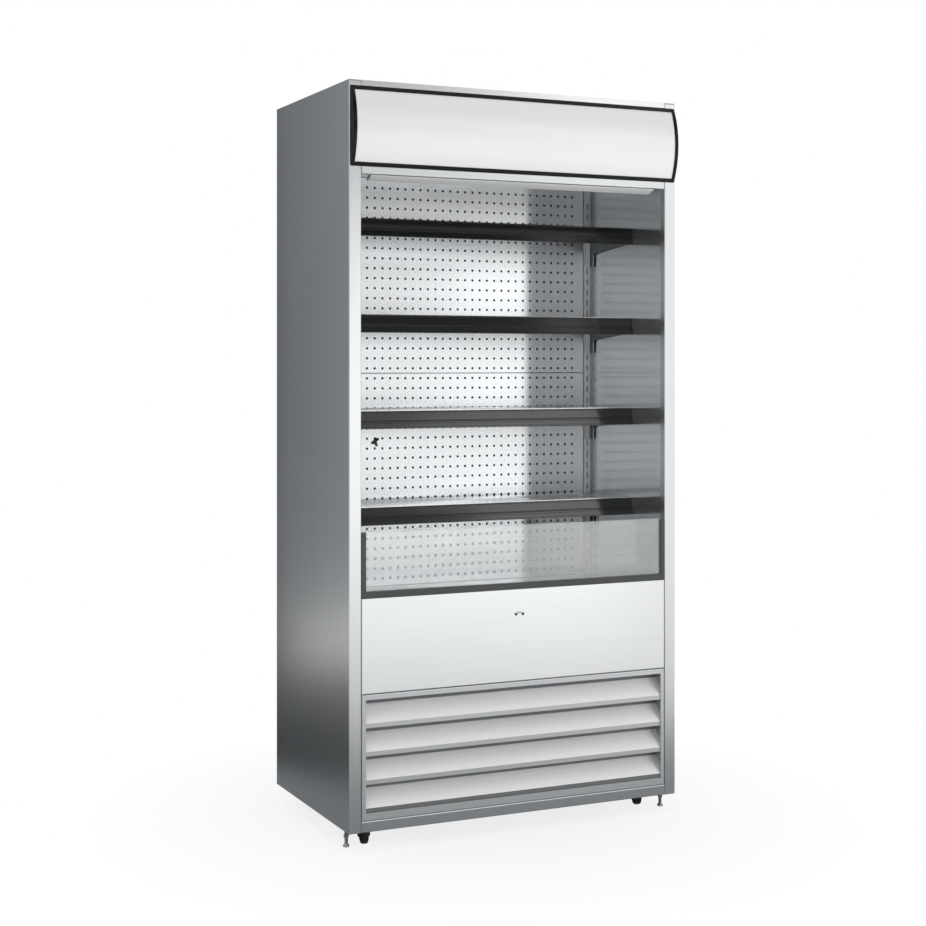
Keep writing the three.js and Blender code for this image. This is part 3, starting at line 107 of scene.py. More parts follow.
world = bpy.data.worlds.new("studio")
world.use_nodes = True
bpy.context.scene.world = world
tree = world.node_tree
tree.nodes.clear()
room = add_node(tree, "ShaderNodeBackground", {"Color": (1, 1, 1, 1), "Strength": 0.5})
white = add_node(tree, "ShaderNodeBackground", {"Color": (1, 1, 1, 1), "Strength": 1.0})
both = add_node(tree, "ShaderNodeMixShader", {
    0: seen_directly(tree),
    1: room.outputs[0],
    2: white.outputs[0],
})
add_node(tree, "ShaderNodeOutputWorld", {"Surface": both.outputs[0]})

paper = bpy.data.materials.new("Matt white paper")
paper.use_nodes = True
tree = paper.node_tree
tree.nodes.clear()
coords = add_node(tree, "ShaderNodeTexCoord")
distance = add_node(tree, "ShaderNodeVectorMath", {0: coords.outputs["Object"]}, operation="LENGTH")
faded = add_node(tree, "ShaderNodeMapRange", {
    "Value": distance.outputs["Value"],
    "From Min": FLOOR_CLEAR_FROM,
    "From Max": FLOOR_CLEAR_TO,
    "To Min": 0.8,
    "To Max": 1.0,
})
share = add_node(tree, "ShaderNodeMath", {
    0: faded.outputs[0],
    1: seen_directly(tree),
}, operation="MULTIPLY")
matt = add_node(tree, "ShaderNodeBsdfDiffuse", {"Color": linear("#fafafa")})
glow = add_node(tree, "ShaderNodeEmission", {"Color": (1, 1, 1, 1), "Strength": 1.0})
both = add_node(tree, "ShaderNodeMixShader", {
    0: share.outputs[0],
    1: matt.outputs[0],
    2: glow.outputs[0],
})
add_node(tree, "ShaderNodeOutputMaterial", {"Surface": both.outputs[0]})

bpy.ops.object.select_all(action="DESELECT")
bpy.ops.mesh.primitive_plane_add(size=FLOOR_SIZE)
floor = bpy.context.object
floor.name = "studio_floor"
floor.data.materials.append(paper)


def softbox(name, location, width, height, power, mirrored=False):
    """A lamp that faces the middle of the cabinet, and shows in mirrors only if asked."""
    lamp = bpy.data.lights.new(name, "AREA")
    lamp.shape = "RECTANGLE"
    lamp.size = width
    lamp.size_y = height
    lamp.energy = power
    placed = bpy.data.objects.new(name, lamp)
    placed.location = location
    aim = CABINET_MIDDLE - placed.location
    placed.rotation_euler = aim.to_track_quat("-Z", "Y").to_euler()
    placed.visible_camera = False
    placed.visible_glossy = mirrored
    bpy.context.scene.collection.objects.link(placed)


softbox("key_softbox", (2.2, -4.6, 1.5), 3.6, 3.0, 54)
softbox("front_softbox", (1.6, -4.6, 1.3), 2.4, 2.3, 12, mirrored=True)
softbox("high_softbox", (3.0, -4.7, 3.2), 1.8, 1.2, 8, mirrored=True)
softbox("top_softbox", (-0.6, -1.2, 4.6), 3.0, 3.0, 26)


def flag(name, shade, location, size, tilt=90, soft=0.0):
    """A card that only mirrors see, upright or flat on the floor, soft at its rim if asked."""
    felt = bpy.data.materials.new(f"Felt {shade}")
    felt.use_nodes = True
    tree = felt.node_tree
    tree.nodes.clear()
    nap = add_node(tree, "ShaderNodeEmission", {"Color": linear(shade), "Strength": 1.0})
    clear = add_node(tree, "ShaderNodeBsdfTransparent")
    coords = add_node(tree, "ShaderNodeTexCoord")
    rim = add_node(tree, "ShaderNodeVectorMath", {0: coords.outputs["Object"]}, operation="LENGTH")
    cover = add_node(tree, "ShaderNodeMapRange", {
        "Value": rim.outputs["Value"],
        "From Min": 0.5 - soft,
        "From Max": 0.5 if soft else 1.0,
        "To Min": 1.0,
        "To Max": 0.0 if soft else 1.0,
    }, interpolation_type="SMOOTHSTEP")
    both = add_node(tree, "ShaderNodeMixShader", {
        0: cover.outputs[0],
        1: clear.outputs[0],
        2: nap.outputs[0],
    })
    add_node(tree, "ShaderNodeOutputMaterial", {"Surface": both.outputs[0]})
    bpy.ops.object.select_all(action="DESELECT")
    bpy.ops.mesh.primitive_plane_add(
        size=1, location=location, rotation=(math.radians(tilt), 0, 0))
    cloth = bpy.context.object
    cloth.scale = (*size, 1)
    cloth.name = name
    cloth.data.materials.append(felt)
    cloth.visible_camera = False
    cloth.visible_diffuse = False
    cloth.visible_transmission = False
    cloth.visible_shadow = False


# Behind the cabinet, for the left side panel.
flag("rear_left_flag", "#a2a5a8", (-3.2, 3.6, 1.4), (2.6, 4.4))
flag("rear_middle_flag", "#1e2022", (-1.05, 3.6, 1.4), (1.7, 4.4))
flag("near_left_flag", "#3c3f42", (-0.62, 1.1, 1.1), (0.5, 2.2))
# In front and high up, for the canopy, the header and the leaning price strips.
flag("roof_flag", "#2a2d2f", (0.6, -4.45, 2.54), (3.2, 0.72))
flag("high_left_flag", "#3a3d3f", (1.0, -4.45, 5.1), (3.8, 2.4))
flag("high_right_flag", "#17191a", (4.4, -4.45, 4.6), (2.4, 3.2))
flag("strip_end_flag", "#0d0e0f", (-2.4, -4.45, 4.0), (1.6, 2.6))
# Round the camera, for the liners and the right half of the back panels.
flag("rear_camera_flag", "#86898b", (-2.15, -5.6, 1.0), (1.8, 2.1))
flag("high_camera_flag", "#45484a", (-2.15, -5.6, 3.0), (1.8, 1.9))
# On the floor, for everything that faces a little downward.
flag("floor_mat", "#7a7d7f", (-0.2, 0.0, 0.003), (4.6, 4.2), 0, 0.14)
flag("left_floor_mat", "#2c2f32", (-1.3, 1.15, 0.006), (1.6, 2.6), 0, 0.1)

# ---- Side panels and roof -------------------------------------------------------------------
# Each side is one sheet of brushed stainless steel, folded round into the front stile and the
# rear return. The roof is a lid of the same sheet. The grain runs up the sides and the stiles.
GRAIN_WIDTH = 0.0012      # real brush marks are finer; this is as coarse as it takes to show
GRAIN_LENGTH = 0.35
SIDE_GRAIN = (GRAIN_WIDTH, GRAIN_WIDTH, GRAIN_LENGTH)
CROSS_GRAIN = (GRAIN_LENGTH, GRAIN_WIDTH, GRAIN_WIDTH)


def new_finish(name, colour, roughness, metallic=0.0, **sockets):
    """A material with its even values set on the shader, ready for a pattern to be added."""
    material = bpy.data.materials.new(name)
    material.use_nodes = True
    shader = material.node_tree.nodes["Principled BSDF"]
    shader.inputs["Base Color"].default_value = linear(colour)
    shader.inputs["Roughness"].default_value = roughness
    shader.inputs["Metallic"].default_value = metallic
    for socket, value in sockets.items():
        shader.inputs[socket.replace("_", " ")].default_value = value
    return material, material.node_tree, shader


def speckle(tree, spacing, detail=3.0):
    """A noise whose marks are spacing metres long along x, y and z of the cabinet."""
    coords = add_node(tree, "ShaderNodeTexCoord")
    fitted = add_node(tree, "ShaderNodeMapping", {
        "Vector": coords.outputs["Object"],
        "Scale": [1 / s for s in spacing],
    })
    return add_node(tree, "ShaderNodeTexNoise", {
        "Vector": fitted.outputs[0],
        "Scale": 1.0,
        "Detail": detail,
        "Roughness": 0.6,
    }).outputs["Fac"]


def tinted(tree, factor, dark, light, low=0.3, high=0.7):
    """The colour between two hex codes that a pattern picks."""
    ramp = add_node(tree, "ShaderNodeValToRGB", {"Fac": factor})
    ramp.color_ramp.elements[0].position = low
    ramp.color_ramp.elements[0].color = linear(dark)
    ramp.color_ramp.elements[1].position = high
    ramp.color_ramp.elements[1].color = linear(light)
    return ramp.outputs["Color"]


def brushed_sheet(name, grain, dark, light, roughness, **sockets):
    """Cold-rolled steel sheet brushed along its grain: fine streaks and a soft long highlight."""
    material, tree, shader = new_finish(name, light, roughness, 1.0, **sockets)
    streaks = speckle(tree, grain)
    tree.links.new(tinted(tree, streaks, dark, light), shader.inputs["Base Color"])
    relief = add_node(tree, "ShaderNodeBump", {
        "Height": streaks,
        "Strength": 0.08,
        "Distance": 0.00005,
    })
    tree.links.new(relief.outputs[0], shader.inputs["Normal"])
    return material


def dress(material, *names):
    """Gives CAD nodes their finish."""
    for name in names:
        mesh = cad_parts[name].data
        mesh.materials.clear()
        mesh.materials.append(material)


def round_folds(name, radius, test):
    """Gives the folds of a CAD sheet the small round that bending leaves."""
    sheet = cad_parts[name]
    folds = sheet.vertex_groups.new(name="folds")
    folds.add([v.index for v in sheet.data.vertices if test(v.co)], 1.0, "REPLACE")
    weld = sheet.modifiers.new("weld", "WELD")
    weld.merge_threshold = 0.00001
    flat = sheet.modifiers.new("flat", "DECIMATE")
    flat.decimate_type = "DISSOLVE"
    flat.angle_limit = math.radians(0.5)
    bend = sheet.modifiers.new("bend", "BEVEL")
    bend.width = radius
    bend.segments = 3
    bend.limit_method = "VGROUP"
    bend.vertex_group = "folds"


# Brushing draws every highlight out into a soft band across the grain.
upright_steel = brushed_sheet(
    "Brushed stainless steel, upright grain", SIDE_GRAIN, "#d1d3d4", "#d9dbdc", 0.3)
cross_steel = brushed_sheet(
    "Brushed stainless steel, cross grain", CROSS_GRAIN, "#d2d4d5", "#dadcdd", 0.28)
dress(upright_steel, "left_side_panel", "right_side_panel")
dress(cross_steel, "roof_panel")
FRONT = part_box("left_side_panel")[0].y
STILE_INNER = 0.4662
for name in ("left_side_panel", "right_side_panel"):
    round_folds(name, 0.002, lambda p: p.y < FRONT + 0.0001
                and (abs(p.x) > 0.4999 or abs(p.x) < STILE_INNER))
round_folds("roof_panel", 0.0012, lambda p: p.y < FRONT + 0.0001)

# ---- Rear panel -----------------------------------------------------------------------------
# Galvanised sheet, screwed on round its edge, with rows of vent slots behind the compressor.
# Zinc crystallises into large pale and dark spangles.
SPANGLE = 0.012

zinc_sheet, tree, shader = new_finish("Galvanised steel sheet", "#a4a8aa", 0.42, 0.9)
coords = add_node(tree, "ShaderNodeTexCoord")
crystals = add_node(tree, "ShaderNodeTexVoronoi", {
    "Vector": coords.outputs["Object"],
    "Scale": 1 / SPANGLE,
})
tree.links.new(
    tinted(tree, crystals.outputs["Color"], "#8f9496", "#b9bcbe", 0.0, 1.0),
    shader.inputs["Base Color"],
)
dress(zinc_sheet, "rear_panel")

# ---- Base -----------------------------------------------------------------------------------
# A plate with upturned edges behind a folded kick rail, all of satin sheet. The forks of the
# fixed rear castors are welded under it.

# The satin finish is rougher and softer than the brushed sides; it is also painted greyer, a
# painted shade for the dark floor the kick rail faces.
satin_steel = brushed_sheet("Satin steel sheet", CROSS_GRAIN, "#c4c7c9", "#cccfd1", 0.34)
dress(satin_steel, "base_frame")
round_folds("base_frame", 0.0025, lambda p: p.y < FRONT + 0.0001)

# ---- Castors --------------------------------------------------------------------------------
# Black enamelled steel forks round moulded polypropylene wheels with six ribs a side. The front
# pair swivels under a round crown with its ball race, and each wheel turns on a bolt.
CASTOR_X = 0.43
FRONT_CASTOR_Y = -0.197
REAR_WHEEL_Y = 0.241
TRAIL = 0.019
AXLE_Z = 0.025
FRONT_YAW = {"left": math.radians(172), "right": math.radians(-12)}
SIDES = (("left", -1), ("right", 1))


def trace(points):
    """Draws a line of edges through the points and stays in edit mode."""
    bpy.ops.object.select_all(action="DESELECT")
    bpy.ops.mesh.primitive_plane_add(size=0.001)
    drawn = bpy.context.object
    bpy.ops.object.mode_set(mode="EDIT")
    bpy.ops.mesh.select_mode(type="VERT")
    bpy.ops.mesh.select_all(action="SELECT")
    bpy.ops.mesh.merge(type="CENTER")
    bpy.ops.transform.translate(value=points[0])
    for start, end in zip(points, points[1:]):
        bpy.ops.mesh.extrude_region_move(
            TRANSFORM_OT_translate={"value": Vector(end) - Vector(start)})
    return drawn


def close_up():
    """Merges doubled points, turns the faces outward and leaves edit mode."""
    bpy.ops.mesh.select_all(action="SELECT")
    bpy.ops.mesh.remove_doubles(threshold=0.00001)
    bpy.ops.mesh.normals_make_consistent(inside=False)
    bpy.ops.object.mode_set(mode="OBJECT")


def turned(section, steps=32, axis=(0, 0, 1), centre=(0, 0, 0)):
    """Spins a section, given as radius and height, once round the axis."""
    out = Vector((0, 0, 1)) if axis[2] == 0 else Vector((1, 0, 0))
    drawn = trace([Vector(centre) + r * out + h * Vector(axis) for r, h in section])
    bpy.ops.mesh.select_all(action="SELECT")
    bpy.ops.mesh.spin(
        steps=steps, angle=2 * math.pi, center=centre, axis=axis, use_auto_merge=True)
    close_up()
    return drawn


def slab(outline, thickness):
    """Closes an outline into a face and extrudes it by the thickness."""
    drawn = trace(outline)
    bpy.ops.mesh.select_all(action="SELECT")
    bpy.ops.mesh.edge_face_add()
    bpy.ops.mesh.select_all(action="SELECT")
    bpy.ops.mesh.extrude_region_move(TRANSFORM_OT_translate={"value": thickness})
    close_up()
    return drawn


def apply_modifiers(piece):
    """Puts the result of its modifiers into the mesh, in their order."""
    bpy.ops.object.select_all(action="DESELECT")
    piece.select_set(True)
    bpy.context.view_layer.objects.active = piece
    for modifier in list(piece.modifiers):
        bpy.ops.object.modifier_apply(modifier=modifier.name)


def rounded(piece, radius):
    """Takes the sharp edges off."""
    edge = piece.modifiers.new("edge", "BEVEL")
    edge.width = radius
    edge.segments = 2
    edge.limit_method = "ANGLE"
    apply_modifiers(piece)
    return piece


def joined(*pieces):
    """The pieces as one object."""
    bpy.ops.object.select_all(action="DESELECT")
    for piece in pieces:
        piece.select_set(True)
    bpy.context.view_layer.objects.active = pieces[0]
    bpy.ops.object.join()
    return pieces[0]


def copy_of(master, place, turn=0.0):
    """A copy with its own mesh, turned about its upright axis and moved to its place."""
    twin = master.copy()
    twin.data = master.data.copy()
    bpy.context.scene.collection.objects.link(twin)
    twin.location = place
    twin.rotation_euler.z = turn
    return twin


def settle(piece, name, material, body, angle=30):
    """Finishes a modelled piece: its place goes into its mesh, and it rides on its body."""
    apply_modifiers(piece)
    bpy.ops.object.transform_apply(location=True, rotation=True, scale=True)
    bpy.ops.object.shade_smooth_by_angle(angle=math.radians(angle))
    piece.name = name
    piece.data.name = name
    piece.data.materials.clear()
    piece.data.materials.append(material)
    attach(piece, body)
    return piece


def flecked(name, colour, roughness, marks, dark, light, metallic=0.0, **sockets):
    """A finish with flecks between two colours, as long as marks along x, y and z.

    Real flecks are finer. A millimetre or more is as coarse as it takes for them to show.
    """
    material, tree, shader = new_finish(name, colour, roughness, metallic, **sockets)
    tree.links.new(tinted(tree, speckle(tree, marks), dark, light), shader.inputs["Base Color"])
    return material


# Enamel flows out smooth before it sets: a deep black with a small soft highlight.
enamel = flecked("Black enamel", "#222528", 0.38, (0.0015,) * 3, "#1b1e20", "#2b2e31")

# Polypropylene comes out of the mould dull and a little waxy.
wheel_plastic = flecked(
    "Moulded polypropylene", "#151718", 0.55, (0.002,) * 3, "#111314", "#1e2021")

half_wheel = [
    (0.0045, 0.0100), (0.0092, 0.0100), (0.0100, 0.0092), (0.0104, 0.0064), (0.0178, 0.0058),
    (0.0190, 0.0080), (0.0215, 0.0090), (0.0238, 0.0080), (0.0248, 0.0055),
]
crown_to_crown = half_wheel + [(0.025, 0.0)] + [(r, -x) for r, x in reversed(half_wheel)]
wheel = turned(crown_to_crown + half_wheel[:1], 40, axis=(1, 0, 0))
ribs = []
for face in (0.0058, -0.0084):
    rib = slab(
        [(face, -0.0008, 0.0098), (face, 0.0008, 0.0098),
         (face, 0.0008, 0.0188), (face, -0.0008, 0.0188)],
        (0.0026, 0, 0),
    )
    bpy.ops.object.mode_set(mode="EDIT")
    bpy.ops.mesh.select_all(action="SELECT")
    bpy.ops.mesh.spin(
        steps=5, angle=2 * math.pi * 5 / 6, center=(0, 0, 0), axis=(1, 0, 0), dupli=True)
    bpy.ops.object.mode_set(mode="OBJECT")
    ribs.append(rib)
wheel = joined(wheel, *ribs)

crown = turned([
    (0.0, 0.0647), (0.0190, 0.0647), (0.0213, 0.0656), (0.0220, 0.0672), (0.0220, 0.0694),
    (0.0206, 0.0700), (0.0206, 0.0708), (0.0214, 0.0714), (0.0190, 0.0727), (0.0, 0.0727),
])
foot_arc = [
    (TRAIL + 0.0075 * math.cos(a), AXLE_Z + 0.0075 * math.sin(a))
    for a in (math.radians(15 - 210 * k / 9) for k in range(10))
]
leg_outline = [(-0.013, 0.0667), (0.0225, 0.0667)] + foot_arc
legs = [
    rounded(slab([(x, y, z) for y, z in leg_outline], (0.0025, 0, 0)), 0.0006)
    for x in (0.011, -0.0135)
]
shaft = turned(
    [(0.0, -0.0150), (0.004, -0.0150), (0.004, 0.0150), (0.0, 0.0150)], 16,
    axis=(1, 0, 0), centre=(0, TRAIL, AXLE_Z))
nuts = [
    turned(
        [(0.0, x), (0.0056, x), (0.0062, x + 0.0006), (0.0062, x + 0.0024), (0.0056, x + 0.003),
         (0.0, x + 0.003)],
        6, axis=(1, 0, 0), centre=(0, TRAIL, AXLE_Z))
    for x in (-0.0166, 0.0136)
]
fork = joined(crown, *legs, shaft, *nuts)

for side, sign in SIDES:
    swivel = Vector((sign * CASTOR_X, FRONT_CASTOR_Y, 0))
    yaw = FRONT_YAW[side]
    hub = swivel + Vector((-TRAIL * math.sin(yaw), TRAIL * math.cos(yaw), AXLE_Z))
    for master, part, place, turn, body, material, slot in (
        (fork, "front_castor_fork", swivel, yaw, "front_fork", enamel, "black_enamel"),
        (wheel, "front_castor_wheel", hub, yaw, "front_wheel", wheel_plastic, "castor_rubber"),
        (wheel, "rear_castor_wheel", (sign * CASTOR_X, REAR_WHEEL_Y, AXLE_Z), 0.0,
         "rear_wheel", wheel_plastic, "castor_rubber"),
    ):
        node = f"{part}_{side}"
        piece = settle(
            copy_of(master, place, turn), f"{node}_moulded", material, f"{body}_{side}")
        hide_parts(node)
bpy.data.objects.remove(fork)
bpy.data.objects.remove(wheel)

# ---- Levelling feet -------------------------------------------------------------------------
# Zinc-plated M10 screws with a flared pad, run down beside the front castors to take the
# weight, each with a lock nut.
FOOT_X = 0.486
FOOT_Y = -0.2245
THREAD_PITCH = 0.0015
THREAD_TURNS = 55

# Bright zinc is a cool metal, very slightly cloudy.
zinc_plate = flecked("Bright zinc plate", "#a9abac", 0.32, (0.001,) * 3, "#8d8f90", "#b7b9ba", 1.0)

thread = trace([
    (0.0043, 0, 0.0095), (0.005, 0, 0.0095 + THREAD_PITCH / 2), (0.0043, 0, 0.0095 + THREAD_PITCH)])
bpy.ops.object.mode_set(mode="OBJECT")
helix = thread.modifiers.new("helix", "SCREW")
helix.steps = 14
helix.render_steps = 14
helix.screw_offset = THREAD_PITCH
helix.iterations = THREAD_TURNS
helix.use_merge_vertices = True
apply_modifiers(thread)
bpy.ops.object.mode_set(mode="EDIT")
close_up()
tip = turned([
    (0.0, 0.0085), (0.0043, 0.0085), (0.0043, 0.0930), (0.0036, 0.0940), (0.0, 0.0940),
], 20)
pad = turned([
    (0.0, 0.0), (0.0076, 0.0), (0.0085, 0.0009), (0.0085, 0.0046), (0.0079, 0.0057),
    (0.0062, 0.0070), (0.0053, 0.0094), (0.0044, 0.0101), (0.0, 0.0101),
])
nut = turned([
    (0.0044, 0.0260), (0.0066, 0.0260), (0.0075, 0.0267), (0.0075, 0.0333), (0.0066, 0.0340),
    (0.0044, 0.0340), (0.0044, 0.0260),
], 6)
foot = joined(thread, tip, pad, nut)
for side, sign in SIDES:
    node = f"levelling_foot_{side}"
    piece = settle(
        copy_of(foot, (sign * FOOT_X, FOOT_Y, 0)), f"{node}_turned", zinc_plate,
        f"foot_{side}")
    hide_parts(node)
bpy.data.objects.remove(foot)

# ---- Cooling unit ---------------------------------------------------------------------------
# Compressor, condenser and its fan stand on the base behind the grille. The evaporator stands
# in the drain tub under the bottom deck. The condenser has fine fins on hairpin tubes.
FIN_PITCH = 0.003
FIN = 0.0003
FINS_FROM, FINS_TO = -0.060, 0.320
COIL_ROWS = 6
TUBE = 0.0048
TUBE_END = 0.004          # how far the open ends of the hairpins stand out of the fins
BEND_START = 0.002
BEND_RADIUS = 0.012

# As it leaves the rolling mill: pale grey, cloudy along the sheet.
mill_aluminium = flecked(
    "Mill-finish aluminium", "#c9cbcc", 0.4, (0.0012, 0.02, 0.02), "#a3a6a8", "#d0d2d3", 1.0)
dress(mill_aluminium, "evaporator_coil", "condenser_fan")
dress(zinc_sheet, "fan_shroud")

# Drawn copper is smooth and warm, with a few darker patches.
copper = flecked("Bright drawn copper", "#b87a5a", 0.3, (0.004,) * 3, "#a86a4c", "#c58a68", 1.0)


def tube(route, radius):
    """A round tube along the route."""
    trace(route)
    bpy.ops.object.mode_set(mode="OBJECT")
    bpy.ops.object.convert(target="CURVE")
    wire = bpy.context.object.data
    wire.bevel_depth = radius
    wire.bevel_resolution = 3
    wire.use_fill_caps = True
    bpy.ops.object.convert(target="MESH")
    return bpy.context.object


low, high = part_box("condenser_coil")
fin = slab(
    [(FINS_FROM, y, z) for y, z in (
        (low.y, low.z), (high.y, low.z), (high.y, high.z), (low.y, high.z))],
    (FIN, 0, 0),
)
repeat = fin.modifiers.new("repeat", "ARRAY")
repeat.count = int((FINS_TO - FINS_FROM) / FIN_PITCH) + 1
repeat.use_relative_offset = False
repeat.use_constant_offset = True
repeat.constant_offset_displace = (FIN_PITCH, 0, 0)
settle(fin, "condenser_fins", mill_aluminium, "cabinet")
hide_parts("condenser_coil")

row_pitch = (high.z - low.z) / COIL_ROWS
middle = (low.y + high.y) / 2
half_circle = [(math.cos(a), math.sin(a)) for a in (math.pi * k / 8 for k in range(9))]
bend = [
    (FINS_TO + BEND_START + BEND_RADIUS * out, middle - BEND_RADIUS * across)
    for across, out in half_circle
]
start = FINS_FROM - TUBE_END
hairpin = [(start, middle - BEND_RADIUS), *bend, (start, middle + BEND_RADIUS)]
hairpins = [
    tube([(x, y, low.z + row_pitch * (row + 0.5)) for x, y in hairpin], TUBE)
    for row in range(COIL_ROWS)
]
settle(joined(*hairpins), "condenser_tubes", copper, "cabinet")

POT = Vector((-0.260, 0.0125, 0.0753))


def on_pot(*places):
    """Points given from the middle of the compressor's foot."""
    return [POT + Vector(place) for place in places]


pot = turned([
    (0.0, 0.010), (0.045, 0.010), (0.060, 0.014), (0.070, 0.024), (0.0745, 0.040), (0.075, 0.050),
    (0.075, 0.0975), (0.079, 0.0980), (0.080, 0.1000), (0.080, 0.1035), (0.079, 0.1055),
    (0.075, 0.1060), (0.075, 0.148), (0.0735, 0.160), (0.068, 0.171), (0.058, 0.179),
    (0.042, 0.184), (0.0, 0.185),
], 48, centre=POT)
plate = rounded(slab(on_pot(
    (-0.097, -0.0605, 0.018), (0.097, -0.0605, 0.018),
    (0.097, 0.0605, 0.018), (-0.097, 0.0605, 0.018)), (0, 0, 0.003)), 0.0008)
terminals = rounded(slab(on_pot(
    (0.063, -0.024, 0.058), (0.101, -0.024, 0.058),
    (0.101, -0.024, 0.118), (0.063, -0.024, 0.118)), (0, 0.048, 0)), 0.004)
mounts = [
    turned([
        (0.0, 0.0), (0.0100, 0.0), (0.0110, 0.0012), (0.0085, 0.0060), (0.0082, 0.0110),
        (0.0110, 0.0170), (0.0, 0.0179),
    ], 20, centre=place)
    for place in on_pot(*[(x, y, 0) for x in (-0.083, 0.083) for y in (-0.0465, 0.0465)])
]
pot = joined(pot, plate, terminals, *mounts)
settle(pot, "compressor_pot", enamel, "cabinet")
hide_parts("compressor")
pipe = tube(on_pot((-0.041, 0, 0.180), (-0.041, 0, 0.215)), TUBE)
settle(pipe, "compressor_pipe", copper, "cabinet")

# Glass fibres in the nylon leave it dark, dry and flecked.
fan_plastic = flecked("Glass-filled nylon", "#26292b", 0.5, (0.0012,) * 3, "#1f2224", "#303336")
dress(fan_plastic, "evaporator_fan")

GLAND = (0.36, 0.262, 0)
gland = joined(
    turned([
        (0.0045, 0.0728), (0.0110, 0.0728), (0.0120, 0.0720), (0.0120, 0.0668), (0.0110, 0.0660),
        (0.0045, 0.0660), (0.0045, 0.0728),
    ], 6, centre=GLAND),
    turned([
        (0.0045, 0.0660), (0.0095, 0.0660), (0.0095, 0.0590), (0.0085, 0.0545), (0.0062, 0.0520),
        (0.0045, 0.0520), (0.0045, 0.0660),
    ], 24, centre=GLAND),
)
settle(gland, "mains_gland", fan_plastic, "cabinet")

# Vacuum forming leaves the white sheet smooth, with a soft sheen.
tub_plastic = flecked(
    "Vacuum-formed polystyrene", "#dfe1e1", 0.4, (0.003,) * 3, "#d6d8d8", "#e6e8e8")
dress(tub_plastic, "insulated_floor")

# ---- Inner walls ----------------------------------------------------------------------------
# The display space is lined with bright annealed stainless, polished nearly to a mirror, with
# its faint rolling grain upright. Slotted uprights of the same sheet carry the shelves.

# Rolled bright, it mirrors what is near, drawn out along the grain.
liner_steel = brushed_sheet(
    "Bright annealed stainless steel", SIDE_GRAIN, "#dcdee0", "#e4e6e7", 0.2, Anisotropic=1.0)
dress(
    liner_steel,
    "left_side_liner",
    "right_side_liner",
    "ceiling_panel",
    "bottom_deck",
    "lower_back_panel",
    "upper_back_panel",
)

# An even, nearly matt white with a very fine mottle: painted light on the steel uprights and on the
# brackets' front faces, for the bright front light they catch.
lit_upright_white = flecked(
    "Near-white steel, painted light", "#f4f5f6", 0.4, (0.0012,) * 3, "#f0f1f2", "#f8f9fa")
dress(lit_upright_white, "left_upright", "right_upright")

# ---- Perforated back panels -----------------------------------------------------------------
# Two sheets of fine-textured bright steel, punched all over with round holes that let the cold
# air through from the duct behind. Their side edges are folded back.
HOLE = 0.0076
HOLE_PITCH_X = 0.0242
HOLE_PITCH_Z = 0.0292
HOLE_COLUMNS = 34
PANEL_SHEET = 0.0012
PANEL_GAP = 0.0009
TEXTURE = 0.0022

# The pressed linen texture breaks reflections up into a fine sparkle.
panel_steel, tree, shader = new_finish(
    "Linen-textured stainless steel", "#cfd2d3", 0.2, 1.0,
    Anisotropic=1.0, Anisotropic_Rotation=0.25)
grit = speckle(tree, (TEXTURE,) * 3, 2.0)
tree.links.new(tinted(tree, grit, "#c9cbcd", "#d8dadb"), shader.inputs["Base Color"])
relief = add_node(tree, "ShaderNodeBump", {"Height": grit, "Strength": 0.12, "Distance": 0.00005})
tree.links.new(relief.outputs[0], shader.inputs["Normal"])


def pick(piece, test):
    """Selects the vertices of the piece in edit mode that pass the test, and nothing else."""
    mesh = bmesh.from_edit_mesh(piece.data)
    for face in mesh.faces:
        face.select_set(False)
    for vertex in mesh.verts:
        vertex.select_set(False)
    for vertex in mesh.verts:
        vertex.select_set(test(vertex.co))
    mesh.select_flush_mode()
    bmesh.update_edit_mesh(piece.data)


def pick_edges(piece, test):
    """Selects the edges of the piece in edit mode whose two ends pass the test."""
    mesh = bmesh.from_edit_mesh(piece.data)
    for part in (mesh.faces, mesh.edges, mesh.verts):
        for element in part:
            element.select_set(False)
    for edge in mesh.edges:
        if all(test(vertex.co) for vertex in edge.verts):
            edge.select_set(True)
    bmesh.update_edit_mesh(piece.data)


